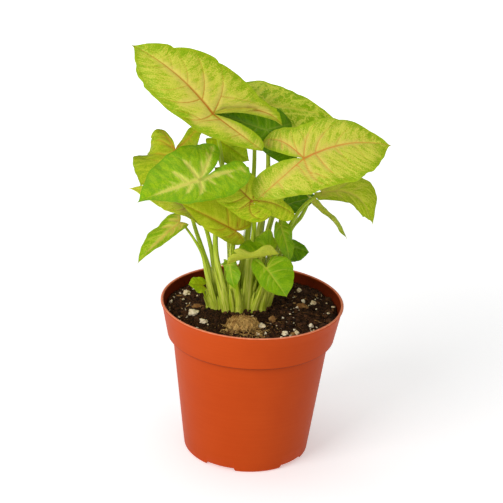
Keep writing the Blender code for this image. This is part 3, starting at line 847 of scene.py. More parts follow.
def vein_fields(points, veins, spread):
    """For each point: the colour of veins, the glow around them, the groove they lie in and the
    rib under the stoutest ones."""
    colour, glow, groove, rib = (np.zeros(len(points)) for _ in range(4))
    for vein in veins:
        distance, along = distance_along(points, vein.line)
        width = np.interp(along, (0, 1), vein.widths)
        strength = np.interp(along, (0, 1), vein.strengths)
        colour = np.maximum(colour, strength * (1 - smoothstep(distance / width, 0.35, 1.5)))
        if vein.glow:
            fade = 1 - smoothstep(along / vein.glow, 0.0, 1.0)
            reach = spread * (0.32 + 0.68 * fade) * (0.5 + 0.5 * vein.flare)
            halo = np.exp(-((distance / reach) ** 2)) * smoothstep(fade, 0.0, 0.35)
            glow = np.maximum(glow, halo * vein.flare)
        groove = np.maximum(groove, strength * np.exp(-((distance / (1.4 * width + 0.6)) ** 2)))
        if vein.strengths[0] >= 0.84:
            swell = np.sqrt(np.maximum(0, 1 - (distance / (1.8 * width)) ** 2))
            rib = np.maximum(rib, swell * width * 1.5)
    return colour, glow, groove, rib


def vertex_normals(points, faces):
    triangles = np.array([(f[0], f[k], f[k + 1]) for f in faces for k in range(1, len(f) - 1)])
    a, b, c = (points[triangles[:, k]] for k in range(3))
    normals = np.zeros_like(points)
    for k in range(3):
        np.add.at(normals, triangles[:, k], np.cross(b - a, c - a))
    return unit(normals)


def rolling(points, size, seed):
    """Smooth random values between -1 and 1 that change over size millimetres."""
    start = Vector((seed * 7.3, seed * 3.1, seed * 1.7))
    return np.array([noise.noise(Vector(p) / size + start) for p in points])


def rim_distance(points, margin):
    """Each point's distance to the nearest one on the margin, in batches that fit in memory."""
    nearest = np.full(len(points), 1e9)
    for start in range(0, len(margin), 64):
        gaps = points[:, None] - margin[None, start : start + 64]
        nearest = np.minimum(nearest, np.sqrt((gaps**2).sum(2)).min(axis=1))
    return nearest


def add_leaf(leaf, number, material):
    """A blade in two skins that close along its margin."""
    chance = random.Random(SEED + number)
    look = LOOKS[leaf.look]
    blade = Blade(leaf)
    length = blade.length
    halves = [FlatHalf(length, half, sign, chance) for half, sign in ((leaf.left, 1), (leaf.right, -1))]
    spacing = 0.5 if length > 40 else 0.6
    lobe = max(leaf.left.lobe, leaf.right.lobe)
    columns = max(10, int(max(leaf.left.width, leaf.right.width) / spacing))
    back = max(12, int(1.3 * lobe / spacing))
    sheet = Sheet(halves, int(1.15 * length / spacing), back, columns, max(5, columns // 3))
    veins = leaf_veins(leaf, length, halves, chance)
    colour, glow, groove, rib = vein_fields(sheet.flat, veins, look.spread)

    middle = blade.place(sheet.flat, sheet.side)
    normals = vertex_normals(middle, sheet.faces)
    rim = rim_distance(middle, middle[sheet.margin])
    inside = smoothstep(rim, 0, 3.0)
    waves = 1.0 * rolling(middle, 11.0, number) + 0.45 * rolling(middle, 4.2, number + 40)
    relief = waves * (1 - 0.35 * inside) - 0.60 * groove * (0.4 + 0.6 * inside)
    thickness = MARGIN_THICKNESS + (BLADE_THICKNESS - MARGIN_THICKNESS) * smoothstep(rim, 0, 1.5)
    upper = middle + normals * (relief - 0.05)[:, None]
    lower = middle + normals * (relief - 0.05 - thickness - rib * inside)[:, None]

    count = len(middle)
    faces = sheet.faces + [[p + count for p in reversed(face)] for face in sheet.faces]
    faces += wall_faces(sheet.margin.tolist(), count)
    across = sheet.part * sheet.reach / 3.4
    along = sheet.row * (length + lobe) * 0.5
    grain = np.column_stack([across, along, sheet.side * 20.0 + number * 7.0])
    flat = np.column_stack([sheet.flat, np.full(count, number * 9.0)])
    attributes = [
        ("vein", np.tile(colour, 2)),
        ("glow", np.tile(glow, 2)),
        ("rim", np.tile(1 - smoothstep(rim, 0, min(9.0, 0.17 * length)), 2)),
        ("under", np.repeat([0.0, 1.0], count)),
        ("grain", np.tile(grain, (2, 1))),
        ("flat", np.tile(flat, (2, 1))),
    ]
    add_piece(
        f"blade_{leaf.name}", np.vstack([upper, lower]), faces, material,
        attributes, (f"leaf_{leaf.name}",), sharp=70,
    )
    return blade


def leaf_shader(name, look):
    """The skin of a blade. grain runs along the veins, and flat lies evenly over the blade."""
    shader = Shader(
        f"leaf_{name}", Subsurface_Weight=0.12, Subsurface_Radius=(0.8, 1.0, 0.2),
        Subsurface_Scale=0.6 * MM, Specular_IOR_Level=0.13,
    )
    vein, glow, rim, under = (shader.attribute(label) for label in ("vein", "glow", "rim", "under"))
    grain = shader.attribute("grain", "Vector")
    flat = shader.attribute("flat", "Vector")

    def uneven(vector, scale, detail, distortion=0.0):
        vector = shader.stretch(vector, (*scale, 1.0))
        return shader.ramp(shader.noise(vector, 1.0, detail, 0.6, distortion), 0.34, 0.66)

    # Mottling: four noises, the margin and the cover add up to pale, green or deep green.
    patches = uneven(grain, (0.42, 0.50), 3, 0.6)
    streaks = uneven(grain, (0.80, 1.70), 2, 0.3)
    dashes = uneven(grain, (1.70, 3.20), 2)
    specks = uneven(flat, (1.5, 1.5), 2)
    level = shader.total(
        (patches, 0.34), (streaks, 0.12), (dashes, 0.22), (specks, 0.32),
        (shader.math("POWER", rim, 1.6), look.border), (1.0, look.cover - 0.5),
    )
    base = shader.mix(shader.ramp(level, 0.36, 0.62), look.pale, look.green)
    base = shader.mix(shader.ramp(level, 0.56, 0.84), base, look.deep)
    # A fine net of green lines, then a coarse one of pale lines where the look has it.
    net = shader.ramp(shader.cells(flat, 0.85, feature="DISTANCE_TO_EDGE"), 0.0, 0.16)
    base = shader.mix(shader.total((net, -0.34), (1.0, 0.34)), base, look.green)
    warp = shader.times(shader.noise(flat, 0.30, detail=3), 2.0)
    coarse = shader.node("VectorMath", operation="ADD")
    shader.plug(coarse.inputs[0], shader.stretch(flat, (0.09, 0.14, 1.0)))
    shader.plug(coarse.inputs[1], warp)
    coarse = shader.cells(coarse.outputs[0], 1.0, feature="DISTANCE_TO_EDGE")
    coarse = shader.ramp(shader.total((coarse, 1.0), (dashes, 0.07), (specks, 0.05)), 0.03, 0.23)
    base = shader.mix(shader.total((coarse, -look.net), (1.0, look.net)), base, look.glow)
    # The glow beside the veins, frayed by the noises, then margin, veins and lower side.
    feather = shader.total((glow, 1.0), (streaks, 0.40), (dashes, 0.34), (specks, 0.16), (1.0, -0.46))
    feather = shader.times(shader.ramp(feather, 0.0, 1.0), shader.ramp(glow, 0.0, 0.3))
    base = shader.mix(shader.times(feather, look.flame), base, look.glow)
    margin = shader.times(shader.ramp(rim, 0.86, 1.0), 0.6)
    base = shader.mix(margin, base, look.edge)
    base = shader.mix(shader.times(vein, look.lines), base, look.vein)
    faint = shader.mix(shader.total((streaks, 0.35), (specks, 0.2)), look.under, base)
    base = shader.mix(under, base, faint)
    shader.set("Base Color", base)
    shader.set("Roughness", shader.ramp(dashes, 0.0, 1.0, look.gloss - 0.03, look.gloss + 0.06))
    shader.bump(shader.total((net, 0.5), (specks, 0.25), (dashes, 0.25)), 0.3, 0.10)
    return shader.material


def smooth_path(points, count):
    """Points on a Catmull-Rom curve through the given points."""
    points = np.array(points, float)
    points = np.vstack([2 * points[0] - points[1], points, 2 * points[-1] - points[-2]])
    path = []
    for place in np.linspace(0, len(points) - 3, count):
        start = min(int(place), len(points) - 4)
        t = place - start
        a, b, c, d = points[start : start + 4]
        bow = 2 * a - 5 * b + 4 * c - d
        path.append(0.5 * (2 * b + (c - a) * t + bow * t**2 + (3 * b - a - 3 * c + d) * t**3))
    return np.array(path)


def stalk_path(leaf, blade):
    """The middle line of a stalk, from under the soil to the blade, and its radii."""
    soil_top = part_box("soil")[1].z / MM
    foot = np.array([*leaf.foot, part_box(f"stalk_{leaf.name}")[0].z / MM])
    neck = blade.joint - blade.up * 2.0 - blade.along * 1.0
    path = smooth_path([foot, *leaf.route, neck], 56)
    under = foot - (0, 0, foot[2] - soil_top + 2.5)
    path = np.vstack([under, path, blade.joint - blade.up * 0.75])
    places = np.concatenate([[0.0], np.linspace(0, 1, len(path) - 2), [1.0]])
    radii = np.interp(places, np.linspace(0, 1, len(STALK_RADII)), STALK_RADII)
    radii = radii * np.interp(places, (0, 0.4), (leaf.girth**0.5, leaf.girth))
    return path, places, radii * (1 + 0.08 * (1 - smoothstep(places, 0.02, 0.3)))


def outward_of(foot):
    """The level direction from the crown's middle to a stalk's foot."""
    out = np.array([foot[0] - CROWN_MIDDLE[0], foot[1] - CROWN_MIDDLE[1], 0.0])
    return unit(out) if np.linalg.norm(out) > 1.5 else np.array([-0.3, -0.95, 0.0])


def add_stalk(leaf, blade, number, material):
    """A stalk with a broad channelled sheath at its foot and a round neck under the blade."""
    path, places, radii = stalk_path(leaf, blade)
    rings = len(path)
    tangents = unit(np.gradient(path, axis=0))
    tangents[0] = tangents[1] = (0, 0, 1)
    inward = -outward_of(leaf.foot)
    angles = np.linspace(0, 2 * math.pi, STALK_SIDES, endpoint=False)
    away = np.abs((angles + math.pi) % (2 * math.pi) - math.pi)
    channel = np.exp(-((away / 0.55) ** 2))
    wings = np.exp(-(((away - 0.95) / 0.30) ** 2))
    ridges = 0.018 * np.cos(9 * angles + number)
    reach = random.Random(SEED + 50 + number).uniform(0.34, 0.48)
    points = []
    for ring in range(rings):
        tangent = tangents[ring]
        inward = unit(inward - tangent * (inward @ tangent))
        side = np.cross(tangent, inward)
        sheath = (1 - smoothstep(places[ring], 0.0, reach)) ** 1.2
        radius = radii[ring] * (1 + ridges - (0.16 + 0.36 * sheath) * channel + 0.30 * sheath * wings)
        wide = 1 + 0.30 * sheath
        offset = np.cos(angles)[:, None] * inward + wide * np.sin(angles)[:, None] * side
        points.append(path[ring] + radius[:, None] * offset)
    around, along = np.tile(angles, rings), np.repeat(travelled(path), STALK_SIDES)
    fibre = [np.cos(around) * 2.2, np.sin(around) * 2.2, along / 16 + number * 5.0]
    attributes = [
        ("rise", np.repeat(places, STALK_SIDES)),
        ("hollow", np.tile(channel, rings)),
        ("fibre", np.column_stack(fibre)),
    ]
    add_piece(
        f"petiole_{leaf.name}", np.concatenate(points), tube_faces(0, rings, STALK_SIDES), material,
        attributes, (f"stalk_{leaf.name}",), sharp=80,
    )


def stem_shader(name, blush):
    """Pale at the foot and green above, with fibres along it and a pink neck by blush."""
    shader = Shader(
        f"stem_{name}", Subsurface_Weight=0.12, Subsurface_Radius=(0.8, 1.0, 0.2),
        Subsurface_Scale=0.8 * MM, Specular_IOR_Level=0.25,
    )
    rise = shader.attribute("rise")
    hollow = shader.attribute("hollow")
    fibre = shader.attribute("fibre", "Vector")
    broad = shader.ramp(shader.noise(fibre, 0.55, detail=2), 0.38, 0.62)
    lines = shader.ramp(shader.noise(fibre, 1.6, detail=3, roughness=0.6), 0.36, 0.64)
    blot = shader.noise(shader.place(), 90, detail=3)
    low = shader.mix(lines, tone(230, 230, 106), tone(172, 192, 28))
    high = shader.mix(lines, tone(172, 190, 34), tone(128, 158, 0))
    base = shader.over(low, high, rise, 0.04, 0.55)
    base = shader.mix(shader.times(broad, 0.4), base, tone(152, 176, 12))
    base = shader.mix(shader.times(hollow, 0.3), base, tone(214, 218, 84))
    base = shader.over(base, tone(158, 184, 14), blot, 0.5, 0.8, 0.35)
    pink = shader.times(shader.ramp(rise, 0.86, 1.0), blush)
    base = shader.mix(pink, base, tone(190, 110, 48))
    shader.set("Base Color", base)
    shader.set("Roughness", shader.ramp(lines, 0.0, 1.0, 0.36, 0.5))
    shader.bump(shader.total((lines, 0.6), (broad, 0.6)), 0.4, 0.16)
    return shader.material


def turned(profile, segments):
    """A closed shell: a profile of (radius, height) from axis to axis, turned about Z."""
    bm = bmesh.new()
    points = [bm.verts.new((radius, 0, height)) for radius, height in profile]
    edges = [bm.edges.new(pair) for pair in zip(points, points[1:])]
    bmesh.ops.spin(
        bm, geom=points + edges, cent=(0, 0, 0), axis=(0, 0, 1), angle=2 * math.pi,
        steps=segments, use_merge=True,
    )
    bmesh.ops.remove_doubles(bm, verts=bm.verts, dist=0.001)
    bmesh.ops.recalc_face_normals(bm, faces=bm.faces)
    return bm


def arc(centre, radius, start, end, steps):
    turn = np.radians(np.linspace(start, end, steps))
    return [(centre[0] + radius * math.cos(a), centre[1] + radius * math.sin(a)) for a in turn]


class Pot:
    """Driving sizes of the pot, from its box in the frame.

    The body widens up to the step, where the band under the rim starts. The floor stands on feet,
    the first of them at first_foot degrees, between notches that are narrower above.
    """

    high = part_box("pot")[1]
    rim = high.x / MM
    top = high.z / MM
    band_foot = 0.917 * rim
    body_top = 0.86 * rim
    body_foot = 0.692 * rim
    step = top - 20.9
    wall = 1.2
    lip = 0.8
    foot_round = 1.9
    step_round = 0.5
    band_round = 0.7
    floor = 3.4
    foot_inner = 31.0
    feet = 5
    first_foot = -77
    notch_reach = 34.2
    notch_depth = 14
    notch_width = {"below": 20.5, "above": 17}
    notch_height = 2.4
    drain_ring = 20
    drain_radius = 4


def pot_profile():
    """From the middle of the underside outwards, up to the lip, and back over the floor."""
    pot = Pot
    foot = pot.body_foot + 0.18
    band_start = (pot.band_foot, pot.step + pot.band_round)
    lip_centre = (pot.rim - pot.lip, pot.top - pot.lip)
    band_end = (lip_centre[0] + 0.1, lip_centre[1] - 1.0)
    profile = [(0, pot.floor), (pot.foot_inner, pot.floor), (pot.foot_inner, 0.4)]
    profile += [(pot.foot_inner + 0.4, 0.0)]
    profile += arc((foot - pot.foot_round, pot.foot_round), pot.foot_round, -90, 0, 9)
    heights = np.concatenate([np.linspace(10, pot.step - 8, 7), pot.step - np.array([5, 3.4, 2.2, 1.4])])
    for height in heights:
        profile.append((pot.body_foot + (pot.body_top - pot.body_foot) * height / pot.step, height))
    profile += arc((pot.body_top + pot.step_round, pot.step - 0.6), pot.step_round, 180, 90, 4)
    profile += arc((pot.band_foot - pot.band_round, band_start[1]), pot.band_round, -80, 0, 6)
    for part in (0.25, 0.5, 0.75, 0.92):
        profile.append(tuple(a + (b - a) * part for a, b in zip(band_start, band_end)))
    profile += arc(lip_centre, pot.lip, -25, 205, 12)
    profile += [
        (pot.band_foot - pot.wall, pot.step + pot.wall + 0.3),
        (pot.body_top - pot.wall, pot.step + pot.wall),
        (pot.body_foot - pot.wall + 0.8, pot.floor + pot.wall),
        (0, pot.floor + pot.wall),
    ]
    return profile


def pot_cutters():
    """Wedges that leave the feet standing, and pegs through the floor where it drains."""
    bm = bmesh.new()
    foot_angles = [math.radians(Pot.first_foot + 360 / Pot.feet * n) for n in range(Pot.feet)]
    for n in range(Pot.feet):
        angle = math.radians(Pot.first_foot + 360 / Pot.feet * (n + 0.5))
        out = Vector((math.cos(angle), math.sin(angle), 0))
        box = bmesh.ops.create_cube(bm, size=1)["verts"]
        for vert in box:
            vert.co.x *= Pot.notch_depth
            vert.co.y *= Pot.notch_width["above" if vert.co.z > 0 else "below"]
            vert.co.z *= 2 * Pot.notch_height
        bmesh.ops.rotate(bm, matrix=out.to_track_quat("X", "Z").to_matrix(), verts=box)
        bmesh.ops.translate(bm, vec=out * Pot.notch_reach, verts=box)
    ring = [(Pot.drain_ring * math.cos(a), Pot.drain_ring * math.sin(a)) for a in foot_angles]
    for x, y in [(0.0, 0.0), *ring]:
        peg = bmesh.ops.create_cone(
            bm, cap_ends=True, segments=32, radius1=Pot.drain_radius, radius2=Pot.drain_radius, depth=4,
        )
        bmesh.ops.translate(bm, vec=(x, y, Pot.floor + Pot.wall / 2), verts=peg["verts"])
    return bm


def plain_object(name, bm):
    bmesh.ops.scale(bm, vec=(MM, MM, MM), verts=bm.verts)
    mesh = bpy.data.meshes.new(name)
    bm.to_mesh(mesh)
    bm.free()
    return add_object(name, mesh)


def apply_modifiers(piece):
    graph = bpy.context.evaluated_depsgraph_get()
    mesh = bpy.data.meshes.new_from_object(piece.evaluated_get(graph))
    piece.modifiers.clear()
    piece.data = mesh


def shaded_inner_wall(vertex):
    """1 on the wall over the soil, below the lip, where painted shade darkens it."""
    inward = -(vertex.normal.x * vertex.co.x + vertex.normal.y * vertex.co.y) / MM
    return float(inward > 5 and Pot.step < vertex.co.z / MM < Pot.top - Pot.lip - 0.3)


# Painted highlight: 1 on the top of the lip.
def lip_highlight(vertex):
    return float(vertex.co.z / MM > Pot.top - 0.55)


def band_shadow(vertex):
    """Painted shade in the corner under the band, which fades down the wall."""
    below = Pot.step + 0.3 - vertex.co.z / MM
    outside = math.hypot(vertex.co.x, vertex.co.y) / MM > Pot.body_foot - 0.4
    return 0.75 * math.exp(-max(below, 0) / 1.3) if below > -0.3 and outside else 0.0


def add_pot():
    """The pot in one piece, with marks that its colours follow: painted shade inside and under the band,
    and a painted highlight on the lip.
    """
    pot = plain_object("nursery_pot", turned(pot_profile(), 180))
    cutters = plain_object("cutters", pot_cutters())
    cut = pot.modifiers.new("feet and drains", "BOOLEAN")
    cut.object = cutters
    bevel = pot.modifiers.new("soft edges", "BEVEL")
    bevel.width = 0.35 * MM
    bevel.segments = 2
    bevel.limit_method = "ANGLE"
    bevel.angle_limit = math.radians(50)
    apply_modifiers(pot)
    bpy.data.objects.remove(cutters)
    finish(pot, pot_shader(), ("pot",), sharp=40)
    for label, value_of in (("inside", shaded_inner_wall), ("lip", lip_highlight), ("band_shade", band_shadow)):
        layer = pot.data.attributes.new(label, "FLOAT", "POINT")
        for vertex, item in zip(pot.data.vertices, layer.data):
            item.value = value_of(vertex)


def pot_shader():
    shader = Shader("pot_plastic", Specular_IOR_Level=0.07)
    inside = shader.attribute("inside")
    place = shader.place()
    cloud = shader.noise(place, 22, detail=4)
    rings = shader.noise(shader.stretch(place, (4, 4, 900)), 1.0, detail=3)
    scuff = shader.noise(shader.stretch(place, (300, 300, 30)), 1.0, detail=5, roughness=0.7)
    dust = shader.noise(place, 260, detail=3)
    base = shader.over(tone(180, 65, 12), tone(186, 70, 16), cloud, 0.3, 0.7)
    base = shader.over(base, tone(166, 54, 8), rings, 0.35, 0.65, 0.12)
    base = shader.over(base, tone(200, 104, 60), scuff, 0.66, 0.8, 0.16)
    # Painted shade: the inner wall over the soil is a darker red-brown than the outside, with darker peat
    # specks on it.
    peat = shader.noise(place, 420, detail=4, roughness=0.7)
    wall = shader.over(tone(126, 44, 14), tone(60, 30, 16), peat, 0.56, 0.68, 0.6)
    base = shader.mix(inside, base, wall)
    # Painted highlight: a pale pink line along the top of the lip, broken by the scuffs.
    lip = shader.times(shader.attribute("lip"), shader.ramp(scuff, 0.3, 0.7, 0.6, 0.95))
    base = shader.mix(lip, base, tone(244, 150, 112))
    # Painted shade: a dark red-brown line under the band that fades down the wall.
    base = shader.mix(shader.attribute("band_shade"), base, tone(96, 30, 6))
    shader.set("Base Color", base)
    shader.set("Roughness", shader.total((dust, 0.12), (cloud, 0.1), (1.0, 0.36)))
    shader.bump(shader.total((rings, 0.25), (dust, 0.3), (scuff, 0.2)), 0.35, 0.08)
    return shader.material


class Ellipse(NamedTuple):
    """A level ellipse round the feet of the stalks: its middle and its two radii."""

    x: float
    y: float
    width: float
    depth: float

    def reach(self, x, y):
        """Distance from the middle, where 1 is on the ellipse."""
        return np.hypot((x - self.x) / self.width, (y - self.y) / self.depth)


HEAPED = Ellipse(-7.6, -1.2, 21, 15.5)
BARE = Ellipse(-6.5, -1.2, 17, 12)


def soil_height(x, y):
    """Height of the soil's even surface, which the uneven one follows."""
    reach = math.hypot(x, y) / SOIL_RADIUS
    return SOIL_LEVEL + SOIL_DOME * (1 - reach**2)


def clump(points, size, seed):
    """Domes of random cells, from 0 in the cracks to 1 on top."""
    start = Vector((seed * 5.1, seed * 2.7, 0))
    heights = []
    for point in points:
        near, _ = noise.voronoi(Vector(point) / size + start)
        heights.append(math.sqrt(max(0.0, 1 - (near[0] / 0.75) ** 2)))
    return np.array(heights)


def add_soil():
    """A crumbly surface, heaped round the crown, over the sides that fill the pot."""
    low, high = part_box("soil")
    angles = np.linspace(0, 2 * math.pi, 300, endpoint=False)
    count = len(angles)
    radii = np.linspace(0, high.x / MM, 76)[1:]
    ring_x = radii[:, None] * np.cos(angles)
    ring_y = radii[:, None] * np.sin(angles)
    flat = np.column_stack([ring_x.ravel(), ring_y.ravel(), 0 * ring_x.ravel()])
    flat = np.vstack([[0, 0, 0], flat])
    lumps = 1.5 * clump(flat, 5.2, 1) + 1.0 * clump(flat, 2.3, 2) + 0.6 * clump(flat, 1.2, 3)
    broad = 0.9 * rolling(flat, 14.0, 3)
    level = np.array([soil_height(x, y) for x, y, _ in flat])
    level += HEAP * np.exp(-(((HEAPED.reach(flat[:, 0], flat[:, 1]) - 1) / 0.22) ** 2))
    surface = flat.copy()
    surface[:, 2] = level + lumps + broad - 2.0
    step = Pot.step + Pot.wall
    sides = [
        (Pot.band_foot - Pot.wall - 0.35, step + 1.0),
        (Pot.body_top - Pot.wall - 0.35, step - 0.2),
        (Pot.body_foot - Pot.wall + 0.4, low.z / MM),
    ]
    for reach, height in sides:
        ring = [reach * np.cos(angles), reach * np.sin(angles), np.full(count, height)]
        surface = np.vstack([surface, np.column_stack(ring)])
    # Painted shade: 1 deep in the cracks between the lumps and on the hidden sides.
    crack_shade = np.concatenate([1 - lumps / lumps.max(), np.ones(len(sides) * count)])
    faces = [[0, 1 + n, 1 + (n + 1) % count] for n in range(count)]
    faces += [[a, d, c, b] for a, b, c, d in ring_faces(1, len(radii) + len(sides), count)]
    faces.append(list(range(len(surface) - count, len(surface)))[::-1])
    add_piece(
        "potting_soil", surface, faces, soil_shader(), [("crack_shade", crack_shade)], ("soil",),
        sharp=180,
    )


def soil_shader():
    shader = Shader("peat", Roughness=0.95, Specular_IOR_Level=0.15)
    place = shader.place()
    crack_shade = shader.attribute("crack_shade")
    crumb = shader.ramp(shader.noise(place, 700, detail=4, roughness=0.7), 0.36, 0.64)
    patch = shader.noise(place, 110, detail=4)
    fleck = shader.cells(place, 1000)
    base = shader.mix(crumb, tone(26, 14, 6), tone(88, 54, 28))
    base = shader.over(base, tone(52, 30, 14), patch, 0.45, 0.65, 0.6)
    base = shader.over(base, tone(140, 98, 54), fleck, 0.24, 0.12)
    # Painted shade: near black in the cracks between the lumps.
    base = shader.over(base, tone(14, 8, 4), crack_shade, 0.45, 0.9, 0.8)
    shader.set("Base Color", base)
    shader.bump(crumb, 1.0, 0.9)
    return shader.material


def bits():
    """An empty mesh of loose bits, each with a tint of its own."""
    bm = bmesh.new()
    bm.verts.layers.float.new("tint")
    return bm


def rock(bm, centre, size, turn, chance, rough=0.24, level=2):
    """Adds one rough pebble to a mesh of bits, in millimetres."""
    made = bmesh.ops.create_icosphere(bm, subdivisions=level, radius=0.5)["verts"]
    start = Vector([chance.uniform(-50, 50) for _ in range(3)])
    tint = chance.random()
    layer = bm.verts.layers.float["tint"]
    for vert in made:
        unevenness = noise.noise(vert.co * 2.6 + start) + 0.5 * noise.noise(vert.co * 6 + start)
        vert.co *= 1 + rough * 1.6 * unevenness
        vert.co = turn @ Vector([a * b for a, b in zip(vert.co, size)]) + Vector(centre)
        vert[layer] = tint
    return made


def random_turn(chance, lean=3.2):
    """A turn of up to lean radians about a random axis."""
    axis = Vector([chance.gauss(0, 1) for _ in range(3)]).normalized()
    return Matrix.Rotation(chance.uniform(0, lean), 3, axis)


def uneven(chance, size, least, most):
    """Three sides of a bit, each from least to most times its size."""
    return [size * chance.uniform(least, most) for _ in range(3)]


def finish_bits(name, bm, material, replaces=(), sharp=35):
    bmesh.ops.recalc_face_normals(bm, faces=bm.faces)
    finish(plain_object(name, bm), material, replaces, sharp)


def scatter(chance, count, clear, radius=47.5):
    """Random places on the soil. clear scales the bare ellipse that they keep off."""
    places = []
    while len(places) < count:
        reach = radius * math.sqrt(chance.random())
        angle = chance.uniform(0, 2 * math.pi)
        x, y = reach * math.cos(angle), reach * math.sin(angle)
        if BARE.reach(x, y) > clear:
            places.append((x, y))
    return places


def grit_shader(name, light, dark, spots, pitted=0.7):
    """Loose bits from light to dark by their tints, with pits in the colour of spots."""
    shader = Shader(name, Roughness=0.9, Specular_IOR_Level=0.2)
    place = shader.place()
    tint = shader.attribute("tint")
    grain = shader.noise(place, 900, detail=4, roughness=0.65)
    pores = shader.cells(place, 1500)
    patch = shader.ramp(shader.noise(place, 300, detail=2), 0.35, 0.65, 0.0, 0.5)
    base = shader.mix(shader.math("ADD", shader.times(tint, 0.6), patch), light, dark)
    base = shader.over(base, spots, pores, 0.28, 0.1, pitted)
    base = shader.over(base, spots, grain, 0.52, 0.72, pitted)
    shader.set("Base Color", base)
    shader.bump(shader.total((grain, 0.6), (pores, 0.6)), 0.8, 0.3)
    return shader.material


def add_grit():
    """Loose grains: the large ones stand for their solids in the frame, the rest lie around."""
    chance = random.Random(SEED)
    white = (tone(255, 244, 214), tone(236, 212, 164), tone(176, 140, 92))
    perlite = grit_shader("perlite_grit", *white, 0.45)
    bark = grit_shader("bark_bits", tone(186, 144, 84), tone(126, 82, 40), tone(66, 40, 18))
    crumbs = grit_shader("peat_crumbs", tone(100, 62, 34), tone(28, 15, 7), tone(14, 8, 4), 0.4)
    for node in sorted(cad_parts):
        if node.startswith(("perlite", "bark")):
            low, high = box_of(node)
            bm = bits()
            size = [0.95 * (b - a) for a, b in zip(low, high)]
            centre = (low + high) / 2 - Vector((0, 0, 0.5))
            turn = Matrix.Rotation(chance.uniform(-0.4, 0.4), 3, "Z")
            rock(bm, centre, size, turn, chance, rough=0.34, level=4)
            grit, slot = (perlite, "perlite") if node.startswith("perlite") else (bark, "bark")
            finish_bits(f"grain_{node}", bm, grit, (node,))
    bm = bits()
    for x, y in scatter(chance, PERLITE_GRAINS, clear=1.0):
        size = min(2.6, 0.5 + chance.expovariate(2.1))
        sizes = uneven(chance, size, 0.7, 1.3)
        lift = soil_height(x, y) + 0.2 * size - chance.uniform(0.2, 0.6)
        rock(bm, (x, y, lift), sizes, random_turn(chance), chance, rough=0.36)
    finish_bits("perlite_grains", bm, perlite)
    bm = bits()
    for x, y in scatter(chance, PEAT_CRUMBS, clear=0.9):
        size = min(3.4, 0.7 + chance.expovariate(1.3))
        sizes = uneven(chance, size, 0.6, 1.4)
        lift = soil_height(x, y) - chance.uniform(0.1, 0.9)
        rock(bm, (x, y, lift), sizes, random_turn(chance), chance, 0.42, 1 if size < 1.6 else 2)
    finish_bits("peat_crumbs", bm, crumbs)
    bm = bits()
    for x, y in scatter(chance, BARK_CHIPS, clear=0.9):
        length = chance.uniform(1.6, 5.0)
        sizes = (length, length * chance.uniform(0.2, 0.45), length * chance.uniform(0.12, 0.3))
        turn = Matrix.Rotation(chance.uniform(0, 6.3), 3, "Z") @ random_turn(chance, 0.7)
        lift = soil_height(x, y) + 0.1 - chance.uniform(0, 0.5)
        rock(bm, (x, y, lift), sizes, turn, chance, rough=0.4)
    finish_bits("bark_chips", bm, bark)


def add_fibres(name, count, place_of, length, radius, material, chance):
    """Thin bent fibres as one mesh."""
    points, faces, tints = [], [], []
    rings, sides = 6, 5
    for _ in range(count):
        centre, direction = place_of(chance)
        bend = Vector([chance.gauss(0, 0.5) for _ in range(3)])
        long = chance.uniform(0.5, 1.0) * length
        tints += [chance.random()] * (rings * sides)
        faces += tube_faces(len(points), rings, sides)
        side = direction.orthogonal().normalized()
        other = direction.cross(side).normalized()
        for ring in range(rings):
            t = ring / (rings - 1) - 0.5
            middle = centre + direction * (t * long) + bend * (0.25 - t * t) * long * 0.6
            thin = radius * (1 - 1.4 * abs(t))
            for n in range(sides):
                a = 2 * math.pi * n / sides
                points.append(middle + (side * math.cos(a) + other * math.sin(a)) * thin)
    add_piece(name, points, faces, material, [("tint", tints)])


def heading(turn, rise):
    """A nearly level direction."""
    return Vector((math.cos(turn), math.sin(turn), rise)).normalized()


